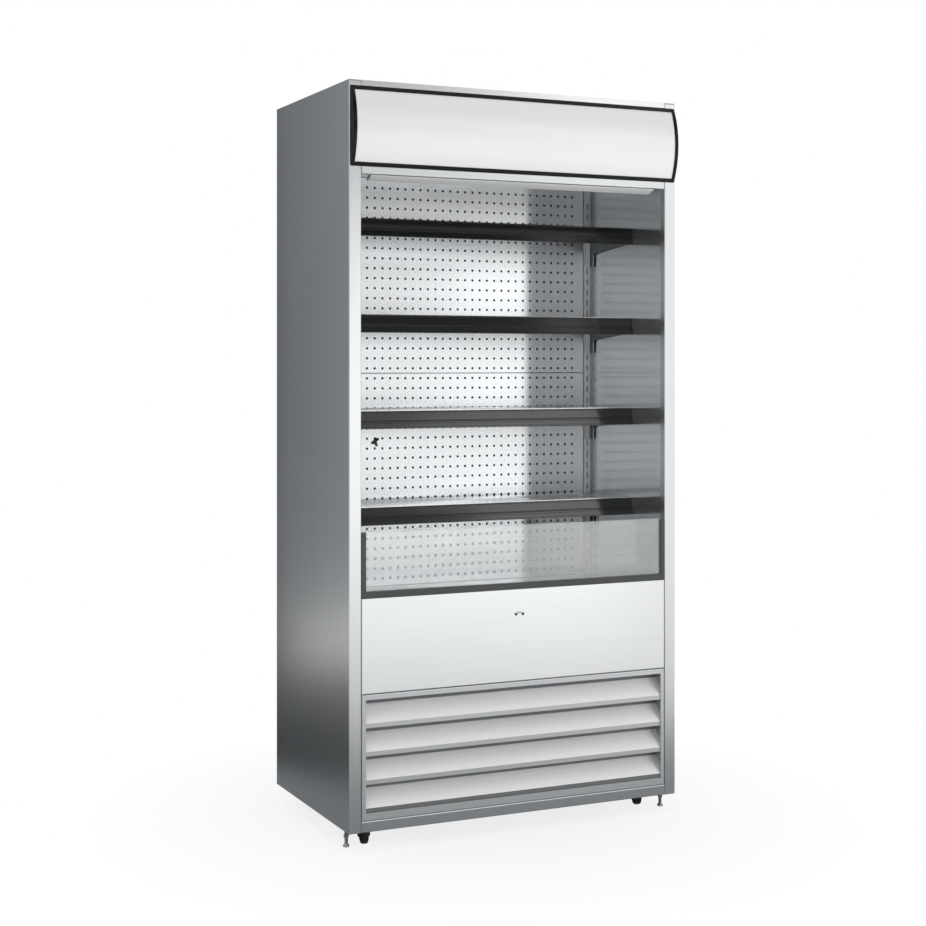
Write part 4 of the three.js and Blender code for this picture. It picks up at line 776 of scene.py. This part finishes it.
def perforated_panel(node, lowest_row, rows):
    """One hole in its own patch of sheet, repeated, then margins round all and the side edges
    folded back.
    """
    low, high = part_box(node)
    low.z += PANEL_GAP
    high.z -= PANEL_GAP
    reach = (HOLE_COLUMNS - 1) * HOLE_PITCH_X / 2
    centre = Vector((-reach, low.y, lowest_row))
    bpy.ops.object.select_all(action="DESELECT")
    bpy.ops.mesh.primitive_circle_add(
        vertices=8, radius=HOLE / 2, location=centre, rotation=(math.pi / 2, 0, 0))
    panel = bpy.context.object
    bpy.ops.object.transform_apply(location=True, rotation=True, scale=True)
    bpy.ops.object.mode_set(mode="EDIT")
    bpy.ops.mesh.select_mode(type="VERT")
    bpy.ops.mesh.select_all(action="SELECT")
    bpy.ops.mesh.extrude_region_move()
    bpy.ops.transform.resize(
        value=(HOLE_PITCH_X / HOLE, 1, HOLE_PITCH_Z / HOLE), center_override=centre)
    pick(panel, lambda p: abs(p.x - centre.x) > HOLE_PITCH_X / 4
         and abs(p.z - centre.z) > HOLE_PITCH_Z / 4)
    bpy.ops.transform.resize(value=(math.sqrt(2), 1, math.sqrt(2)), center_override=centre)
    bpy.ops.object.mode_set(mode="OBJECT")
    for count, step in ((HOLE_COLUMNS, (HOLE_PITCH_X, 0, 0)), (rows, (0, 0, HOLE_PITCH_Z))):
        repeat = panel.modifiers.new("repeat", "ARRAY")
        repeat.count = count
        repeat.use_relative_offset = False
        repeat.use_constant_offset = True
        repeat.constant_offset_displace = step
        repeat.use_merge_vertices = True
        repeat.merge_threshold = 0.0001
    apply_modifiers(panel)
    bpy.ops.object.mode_set(mode="EDIT")
    bpy.ops.mesh.select_mode(type="EDGE")
    edge_x = reach + HOLE_PITCH_X / 2
    edge_z = (lowest_row - HOLE_PITCH_Z / 2, lowest_row + (rows - 0.5) * HOLE_PITCH_Z)
    for side, limit in ((-1, low.x), (1, high.x)):
        pick_edges(panel, lambda p: side * p.x > edge_x - 0.001)
        bpy.ops.mesh.extrude_region_move(
            TRANSFORM_OT_translate={"value": (limit - side * edge_x, 0, 0)})
    for side, start, limit in ((-1, edge_z[0], low.z), (1, edge_z[1], high.z)):
        pick_edges(panel, lambda p: side * (p.z - start) > -0.001)
        bpy.ops.mesh.extrude_region_move(
            TRANSFORM_OT_translate={"value": (0, 0, limit - start)})
    pick_edges(panel, lambda p: abs(p.x) > high.x - 0.0005)
    bpy.ops.mesh.extrude_region_move(
        TRANSFORM_OT_translate={"value": (0, high.y - low.y, 0)})
    bpy.ops.mesh.select_all(action="SELECT")
    bpy.ops.mesh.normals_make_consistent(inside=False)
    bpy.ops.object.mode_set(mode="OBJECT")
    front = next(f for f in panel.data.polygons if abs(f.normal.y) > 0.5)
    if front.normal.y > 0:
        panel.data.flip_normals()
    wall = panel.modifiers.new("wall", "SOLIDIFY")
    wall.thickness = PANEL_SHEET
    wall.offset = -1
    settle(panel, node + "_perforated", panel_steel, "cabinet")
    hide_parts(node)


# The duct lining is painted a dull dark grey: painted shade for the dark inside the duct, seen only
# through the holes.
duct_shade_steel = flecked(
    "Galvanised duct lining", "#5a5d5f", 0.6, (SPANGLE,) * 3, "#505355", "#636668", 0.5)
dress(duct_shade_steel, "rear_wall")

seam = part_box("lower_back_panel")[1].z
LOWER_ROWS = 21
UPPER_ROWS = 19
perforated_panel("lower_back_panel", seam - (LOWER_ROWS - 0.5) * HOLE_PITCH_Z, LOWER_ROWS)
perforated_panel("upper_back_panel", seam + HOLE_PITCH_Z / 2, UPPER_ROWS)

# ---- Probe clip -----------------------------------------------------------------------------
# A small black moulding that holds the thermostat's probe, snapped into a hole of the lower
# back panel: a slanting channel with a stub leg.
CLIP = Vector((-0.2545, 0.148, 1.0555))

# Moulded nylon has a soft gloss.
clip_plastic = flecked("Black nylon", "#141617", 0.35, (0.001,) * 3, "#0f1112", "#1b1d1e")
channel = rounded(slab(
    [CLIP + Vector((x, 0, z)) for x, z in (
        (-0.0105, -0.0050), (-0.0055, -0.0090), (0.0125, 0.0060), (0.0075, 0.0105))],
    (0, -0.008, 0)), 0.0012)
stub = rounded(slab(
    [CLIP + Vector((x, 0, z)) for x, z in (
        (-0.0010, -0.0020), (0.0040, -0.0150), (0.0090, -0.0140), (0.0050, -0.0010))],
    (0, -0.005, 0)), 0.0010)
settle(joined(channel, stub), "probe_clip", clip_plastic, "cabinet")

# ---- Shelves --------------------------------------------------------------------------------
# Folded steel trays on plated steel cantilever brackets, each with a leaning black price strip.
# The strip is extruded PVC: glossy, with its own long die lines.
dress(liner_steel, *[f"shelf_tray_{k}" for k in range(1, 5)])

# The brackets are satin steel, painted darker than the liner beside them: painted shade, for the
# shadow under the shelves.
bracket_shaded_steel = brushed_sheet("Satin zinc-plated steel", SIDE_GRAIN, "#75787a", "#808385", 0.36)
brackets = [f"shelf_bracket_{side}_{k}" for k in range(1, 5) for side in ("left", "right")]
dress(bracket_shaded_steel, *brackets)
for name in brackets:
    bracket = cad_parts[name].data
    bracket.materials.append(lit_upright_white)
    # Faces that look to the front get the painted-light white; the rest keep the painted shade.
    for face in bracket.polygons:
        face.material_index = int(face.normal.y < -0.9)

# The die leaves the PVC glossy, with fine lines along its length.
strip_plastic = flecked(
    "Extruded black PVC", "#17191a", 0.12, (0.6, 0.0016, 0.0016), "#121415", "#1c1e1f", IOR=1.62)
STRIP_TOP = (-0.095, 0.885)
STRIP_LEAN = math.atan2(0.013, 0.048)
STRIP_FACE = math.hypot(0.013, 0.048)
STRIP_HALF = 0.463
STRIP_CAP = 0.0023
STRIP_SECTION = (
    (0.0, -4.0), (0.0, 0.9), (0.6, 1.5), (2.2, 1.5), (2.8, 0.9), (3.0, -0.6), (5.2, -0.6),
    (5.6, 0.3), (27.0, 0.3), (28.2, 1.5), (29.6, 1.5), (30.2, 0.6), (30.4, -2.2), (34.6, -2.2),
    (35.2, 0.4), (36.0, 0.9), (45.0, 0.9), (46.4, 1.5), (49.1, 1.5), (49.7, 0.9), (49.7, -4.0),
)


def on_strip(x, down, out):
    """A point on the leaning strip of the lowest shelf: down its face, and out of it."""
    y, z = STRIP_TOP
    return (
        x,
        y - down * math.sin(STRIP_LEAN) - out * math.cos(STRIP_LEAN),
        z - down * math.cos(STRIP_LEAN) + out * math.sin(STRIP_LEAN),
    )


strip = rounded(slab(
    [on_strip(-STRIP_HALF, down / 1000, out / 1000) for down, out in STRIP_SECTION],
    (2 * STRIP_HALF, 0, 0)), 0.00025)
strip_ends = joined(*[
    rounded(slab(
        [on_strip(x, down, out) for down, out in (
            (0.0, -0.004), (0.0, 0.0015), (STRIP_FACE, 0.0015), (STRIP_FACE, -0.004))],
        (STRIP_CAP, 0, 0)), 0.0005)
    for x in (-STRIP_HALF - STRIP_CAP, STRIP_HALF)
])
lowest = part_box("price_strip_1")[0].z
for k in range(1, 5):
    lift = (0, 0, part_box(f"price_strip_{k}")[0].z - lowest)
    piece = settle(
        copy_of(strip, lift), f"price_strip_{k}_extrusion", strip_plastic, f"shelf_{k}",
        angle=5)
    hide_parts(f"price_strip_{k}")
    settle(
        copy_of(strip_ends, lift), f"price_strip_{k}_ends", strip_plastic, f"shelf_{k}")
bpy.data.objects.remove(strip)
bpy.data.objects.remove(strip_ends)

# ---- Night blind ----------------------------------------------------------------------------
# A spring roller behind the header carries a coated cloth, with an aluminium bar along its
# foot. At rest only the bar shows, as a pale strip under the header.

# Powder coat on the bar: pale, with a low sheen.
bar_paint = flecked(
    "White powder-coated aluminium", "#e6e7e8", 0.42, (0.0012,) * 3, "#e2e3e4", "#eaebec")
BAR_HALF = 0.436
BAR_CAP = 0.003
BAR_SECTION = [
    (-0.2745, 1.7810), (-0.2745, 1.7785), (-0.2465, 1.7675), (-0.2445, 1.7685), (-0.2445, 1.7735),
    (-0.2525, 1.7810),
]
bar = rounded(slab(
    [(BAR_CAP - BAR_HALF, y, z) for y, z in BAR_SECTION],
    (2 * (BAR_HALF - BAR_CAP), 0, 0)), 0.0007)
settle(bar, "blind_bar_extrusion", bar_paint, "blind_pull_bar")
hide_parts("blind_bar")

# The moulded end caps are a dull mid grey.
cap_plastic = flecked("Grey polypropylene", "#b4b6b8", 0.5, (0.001,) * 3, "#acaeb0", "#bcbec0")
caps = [
    rounded(slab([(x, y, z) for y, z in BAR_SECTION], (BAR_CAP, 0, 0)), 0.0009)
    for x in (-BAR_HALF, BAR_HALF - BAR_CAP)
]
settle(joined(*caps), "blind_bar_caps", cap_plastic, "blind_pull_bar")

CLOTH_THREAD = 0.0012
CLOTH_THICKNESS = 0.0005

# The weave shows as a faint check under a matt coating.
blind_cloth, tree, shader = new_finish("Coated glass-fibre cloth", "#d9dadb", 0.7)
coords = add_node(tree, "ShaderNodeTexCoord")
fitted = add_node(tree, "ShaderNodeMapping", {
    "Vector": coords.outputs["Object"],
    "Scale": [1 / CLOTH_THREAD] * 3,
})
threads = add_node(tree, "ShaderNodeTexChecker", {"Vector": fitted.outputs[0], "Scale": 1.0})
tree.links.new(
    tinted(tree, threads.outputs["Fac"], "#cfd1d2", "#dfe0e1", 0.0, 1.0),
    shader.inputs["Base Color"],
)
dress(blind_cloth, "blind_fabric")

ROLL_AXIS = (0, -0.2375, 1.813)
WOUND_HALF = 0.417
TUBE_HALF = 0.4537


def both_ways(half_section):
    """A roller's section from one end to the other, given for its right half."""
    return [(r, -x) for r, x in reversed(half_section)] + half_section


wound = turned(
    both_ways([(0.016, WOUND_HALF - 0.001), (0.0155, WOUND_HALF), (0.0121, WOUND_HALF)]),
    40, axis=(1, 0, 0), centre=ROLL_AXIS)
settle(wound, "blind_roll_cloth", blind_cloth, "blind_roll")
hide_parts("blind_roller")
pin_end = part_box("blind_roller")[1].x
spindle = turned(
    both_ways([
        (0.012, TUBE_HALF - 0.0005), (0.0115, TUBE_HALF), (0.004, TUBE_HALF),
        (0.004, pin_end - 0.0005), (0.0035, pin_end), (0.0, pin_end)]),
    32, axis=(1, 0, 0), centre=ROLL_AXIS)
settle(spindle, "blind_roll_tube", mill_aluminium, "blind_roll")

low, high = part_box("blind_fabric")
bpy.ops.object.select_all(action="DESELECT")
bpy.ops.mesh.primitive_grid_add(
    x_subdivisions=16, y_subdivisions=60, size=1, location=(low + high) / 2,
    rotation=(math.pi / 2, 0, 0))
cloth = bpy.context.object
cloth.scale = (high.x - low.x, high.z - low.z, 1)
bpy.ops.object.transform_apply(location=True, rotation=True, scale=True)
weave = cloth.modifiers.new("weave", "SOLIDIFY")
weave.thickness = CLOTH_THICKNESS
weave.offset = 0
apply_modifiers(cloth)
cloth.name = "blind_cloth"
cloth.data.materials.append(blind_cloth)
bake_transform(cloth)
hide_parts("blind_fabric")

# ---- Header, front panel and grille ---------------------------------------------------------
# Brushed stainless sheet across the whole front: a narrow strip over the opening, the plain
# panel under the glass, and the louvre grille with its four sloping blades.

# The fine grain gives the panel one broad, bright highlight.
front_steel = brushed_sheet(
    "Brushed stainless steel, fine grain", CROSS_GRAIN, "#e2e4e5", "#e7e9ea", 0.28,
    Anisotropic=0.8, Anisotropic_Rotation=0.25)
dress(front_steel, "front_panel")
round_folds("front_panel", 0.0018, lambda p: p.y < FRONT + 0.0001)

# A duller grain, and a greyer colour painted on as shade, keep the header greyer than the panel.
header_steel = brushed_sheet(
    "Brushed stainless steel, dull grain", CROSS_GRAIN, "#d0d3d4", "#d6d9da", 0.34)
dress(header_steel, "header_panel")
round_folds("header_panel", 0.0015, lambda p: p.y < FRONT + 0.0001)

# The grille's face is brushed nearly matt.
grille_steel = brushed_sheet(
    "Brushed stainless steel, matt grain", CROSS_GRAIN, "#d0d2d3", "#d9dbdc", 0.46)
dress(grille_steel, "louvre_grille")
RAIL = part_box("louvre_grille")
round_folds("louvre_grille", 0.0025, lambda p: p.y < FRONT + 0.0001 and (
    p.z < RAIL[0].z + 0.0002 or p.z > RAIL[1].z - 0.0002 or abs(p.x) > RAIL[1].x - 0.0002))

# The faces of the blades that look up get a whiter, matt finish than the rest of the grille: partly
# a rougher finish, partly painted light for the light that falls on them from above.
lit_slope_steel = flecked(
    "Matt stainless steel, painted light", "#fafafb", 0.55, CROSS_GRAIN, "#f7f7f8", "#fdfdfe")
# A dark, dull steel, painted as shade for the dark gaps behind the blades. It is on the upright
# returns behind the blades, the frame's inner returns and the lowest lip.
gap_shade_steel = flecked("Dark steel, painted shade", "#6e7173", 0.5, CROSS_GRAIN, "#696c6e", "#737678")
BLADE_BACK = RAIL[0].y + 0.03
BOTTOM_RAIL = RAIL[0].z + 0.015
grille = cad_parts["louvre_grille"].data
grille.materials.append(lit_slope_steel)
grille.materials.append(gap_shade_steel)
# Faces that look up get the painted light; the upstands, returns and lowest lip get the painted
# shade.
for face in grille.polygons:
    upstand = face.normal.y < -0.9 and face.center.y > BLADE_BACK
    side_return = abs(face.normal.x) > 0.9 and abs(face.center.x) < RAIL[1].x - 0.005
    at_foot = BOTTOM_RAIL < face.center.z < BOTTOM_RAIL + 0.015
    foot_return = at_foot and face.normal.z > 0.9
    lowest_lip = at_foot and face.normal.y < -0.9 and face.center.y > RAIL[0].y + 0.0005
    if face.normal.z > 0.3 and face.normal.y < -0.3:
        face.material_index = 1
    elif upstand or side_return or foot_return or lowest_lip:
        face.material_index = 2

# Chrome mirrors its surroundings, a little blurred.
chrome = flecked("Chrome plate", "#e2e4e5", 0.16, (0.001,) * 3, "#dadcdd", "#eaeced", 1.0)
CATCH_Z = 0.595
CATCH_FACE = -0.2828
CATCH_HALF = 0.0105
arch = tube([
    (-CATCH_HALF * math.cos(a), CATCH_FACE - 0.0042 * math.sin(a), CATCH_Z + 0.0050 * math.sin(a))
    for a in (math.pi * k / 20 for k in range(21))
], 0.0018)
base = slab(
    [(-CATCH_HALF, CATCH_FACE, CATCH_Z - 0.0018), (CATCH_HALF, CATCH_FACE, CATCH_Z - 0.0018),
     (CATCH_HALF, CATCH_FACE, CATCH_Z + 0.0010), (-CATCH_HALF, CATCH_FACE, CATCH_Z + 0.0010)],
    (0, -0.001, 0))
arch = settle(joined(arch, base), "blind_catch_arch", chrome, "cabinet")
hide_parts("blind_catch")
studs = [
    turned([
        (0.0, 0.0030), (0.0012, 0.0030), (0.0014, 0.0022), (0.0032, 0.0019), (0.0040, 0.0008),
        (0.0040, 0.0), (0.0, 0.0),
    ], 24, axis=(0, -1, 0), centre=(sign * CATCH_HALF, CATCH_FACE, CATCH_Z))
    for _, sign in SIDES
]
settle(joined(*studs), "blind_catch_studs", enamel, "cabinet")

# ---- Glass guard ----------------------------------------------------------------------------
# A pane of toughened glass across the foot of the opening, in a black rubber channel along
# its foot and up both sides.

# EPDM is a dark grey with a dull sheen.
channel_rubber = flecked("Moulded EPDM rubber", "#3f4244", 0.45, (0.001,) * 3, "#393c3e", "#474a4c")
dress(channel_rubber, "glass_channel")

# Clear, with a trace of green. A thin mist on the cold pane whitens what is seen through it.
float_glass, tree, shader = new_finish(
    "Toughened float glass", "#f6f8f8", 0.0, IOR=1.5, Transmission_Weight=0.8)
tree.links.new(
    tinted(tree, speckle(tree, (0.3,) * 3, 1.0), "#f3f6f6", "#f9fafa"),
    shader.inputs["Base Color"],
)

# A ground edge scatters the light and looks greenish white.
glass_edge = flecked(
    "Ground glass edge", "#cdd6d4", 0.5, (0.001,) * 3,
    "#c4cecb", "#d6dedc", IOR=1.5, Transmission_Weight=0.3)

low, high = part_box("glass_guard")
PANE_CORNER = 0.004
corners = [
    (side * (high.x - PANE_CORNER + PANE_CORNER * math.sin(a)),
     high.z - PANE_CORNER + PANE_CORNER * math.cos(a))
    for side, turn in ((1, (3, 2, 1, 0)), (-1, (0, 1, 2, 3)))
    for a in (math.pi / 6 * k for k in turn)
]
pane = rounded(slab(
    [(x, low.y, z) for x, z in corners + [(low.x, low.z), (high.x, low.z)]],
    (0, high.y - low.y, 0)), 0.0007)
settle(pane, "glass_pane", float_glass, "cabinet", angle=1)
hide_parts("glass_guard")
pane.data.materials.append(glass_edge)
for face in pane.data.polygons:
    face.material_index = int(abs(face.normal.y) < 0.99)

# ---- Canopy ---------------------------------------------------------------------------------
# The lit sign box: a bowed opal acrylic face between glossy black trims and end caps, with a
# lamp tube behind it.

# ABS from a polished mould: black, with a sharp but weak shine.
gloss_black = flecked(
    "Glossy black ABS", "#0f1112", 0.24, (0.0012,) * 3,
    "#0c0e0f", "#121415", Specular_IOR_Level=0.2)
BOW_CENTRE = (-0.06663, 1.9068)
BOW_RADIUS = 0.240865
CANOPY_SKIN = 0.0015
BOW_EDGE = math.radians(26.17)
TRIM_EDGE = math.radians(23.29)
FACE_EDGE = math.radians(24.33)


def on_bow(radius, angle, x):
    """A point on the bowed section, its angle measured up from level."""
    return (x, BOW_CENTRE[0] - radius * math.cos(angle), BOW_CENTRE[1] + radius * math.sin(angle))


def bowed_strip(radius, lower, upper, x0, x1, steps):
    """A bent strip of the canopy's skin, between two angles and two ends."""
    strip = trace([on_bow(radius - CANOPY_SKIN, lower, x0), on_bow(radius, lower, x0)])
    bpy.ops.mesh.select_all(action="SELECT")
    bpy.ops.mesh.spin(
        steps=steps, angle=upper - lower, center=(x0, *BOW_CENTRE), axis=(1, 0, 0))
    bpy.ops.mesh.select_all(action="SELECT")
    bpy.ops.mesh.extrude_region_move(TRANSFORM_OT_translate={"value": (x1 - x0, 0, 0)})
    close_up()
    return strip


for node, lower, upper in (
    ("canopy_top_trim", TRIM_EDGE, BOW_EDGE), ("canopy_bottom_trim", -BOW_EDGE, -TRIM_EDGE)
):
    low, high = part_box(node)
    trim = rounded(bowed_strip(BOW_RADIUS, lower, upper, low.x, high.x, 6), 0.0006)
    settle(trim, node + "_moulded", gloss_black, "cabinet")
    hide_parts(node)

CAP_FLANGE = 0.0095
CAP_PLATE = 0.003
for side, sign in SIDES:
    node = f"canopy_end_{side}"
    low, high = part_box(node)
    outer = high.x if sign > 0 else low.x
    flange = bowed_strip(
        BOW_RADIUS, -BOW_EDGE, BOW_EDGE, outer - sign * (CAP_PLATE / 2),
        outer - sign * (CAP_PLATE / 2 + CAP_FLANGE), 48)
    plate = slab(
        [on_bow(BOW_RADIUS, BOW_EDGE * (k / 24 - 1), outer) for k in range(49)],
        (-sign * CAP_PLATE, 0, 0))
    cap = joined(rounded(plate, 0.0012), rounded(flange, 0.0005))
    settle(cap, node + "_moulded", gloss_black, "cabinet")
    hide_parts(node)

# The opal face is painted a little greyer toward its top: painted shade, standing in for the light
# of the lamp behind it, which gives none here. A faint random cloud is mixed in.
OPAL_TOP = 2.013
OPAL_FOOT = 1.83
opal, tree, shader = new_finish("Opal acrylic", "#f7f8f9", 0.22)
coords = add_node(tree, "ShaderNodeTexCoord")
height = add_node(tree, "ShaderNodeSeparateXYZ", {0: coords.outputs["Object"]})
# Painted shade: 0 at the top of the face, 1 at its foot.
painted_light_toward_foot = add_node(tree, "ShaderNodeMapRange", {
    "Value": height.outputs["Z"],
    "From Min": OPAL_TOP,
    "From Max": OPAL_FOOT,
})
clouded_and_shaded = add_node(tree, "ShaderNodeMath", {
    0: speckle(tree, (0.2,) * 3, 1.0),
    1: 0.15,
    2: painted_light_toward_foot.outputs[0],
}, operation="MULTIPLY_ADD")
tree.links.new(
    tinted(tree, clouded_and_shaded.outputs[0], "#e0e1e3", "#fcfcfd", 0.05, 1.0), shader.inputs["Base Color"])
dress(opal, "canopy_lamp")
low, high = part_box("canopy_diffuser")
face = bowed_strip(BOW_RADIUS - 0.0018, -FACE_EDGE, FACE_EDGE, low.x, high.x, 64)
settle(face, "canopy_face", opal, "cabinet")
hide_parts("canopy_diffuser")
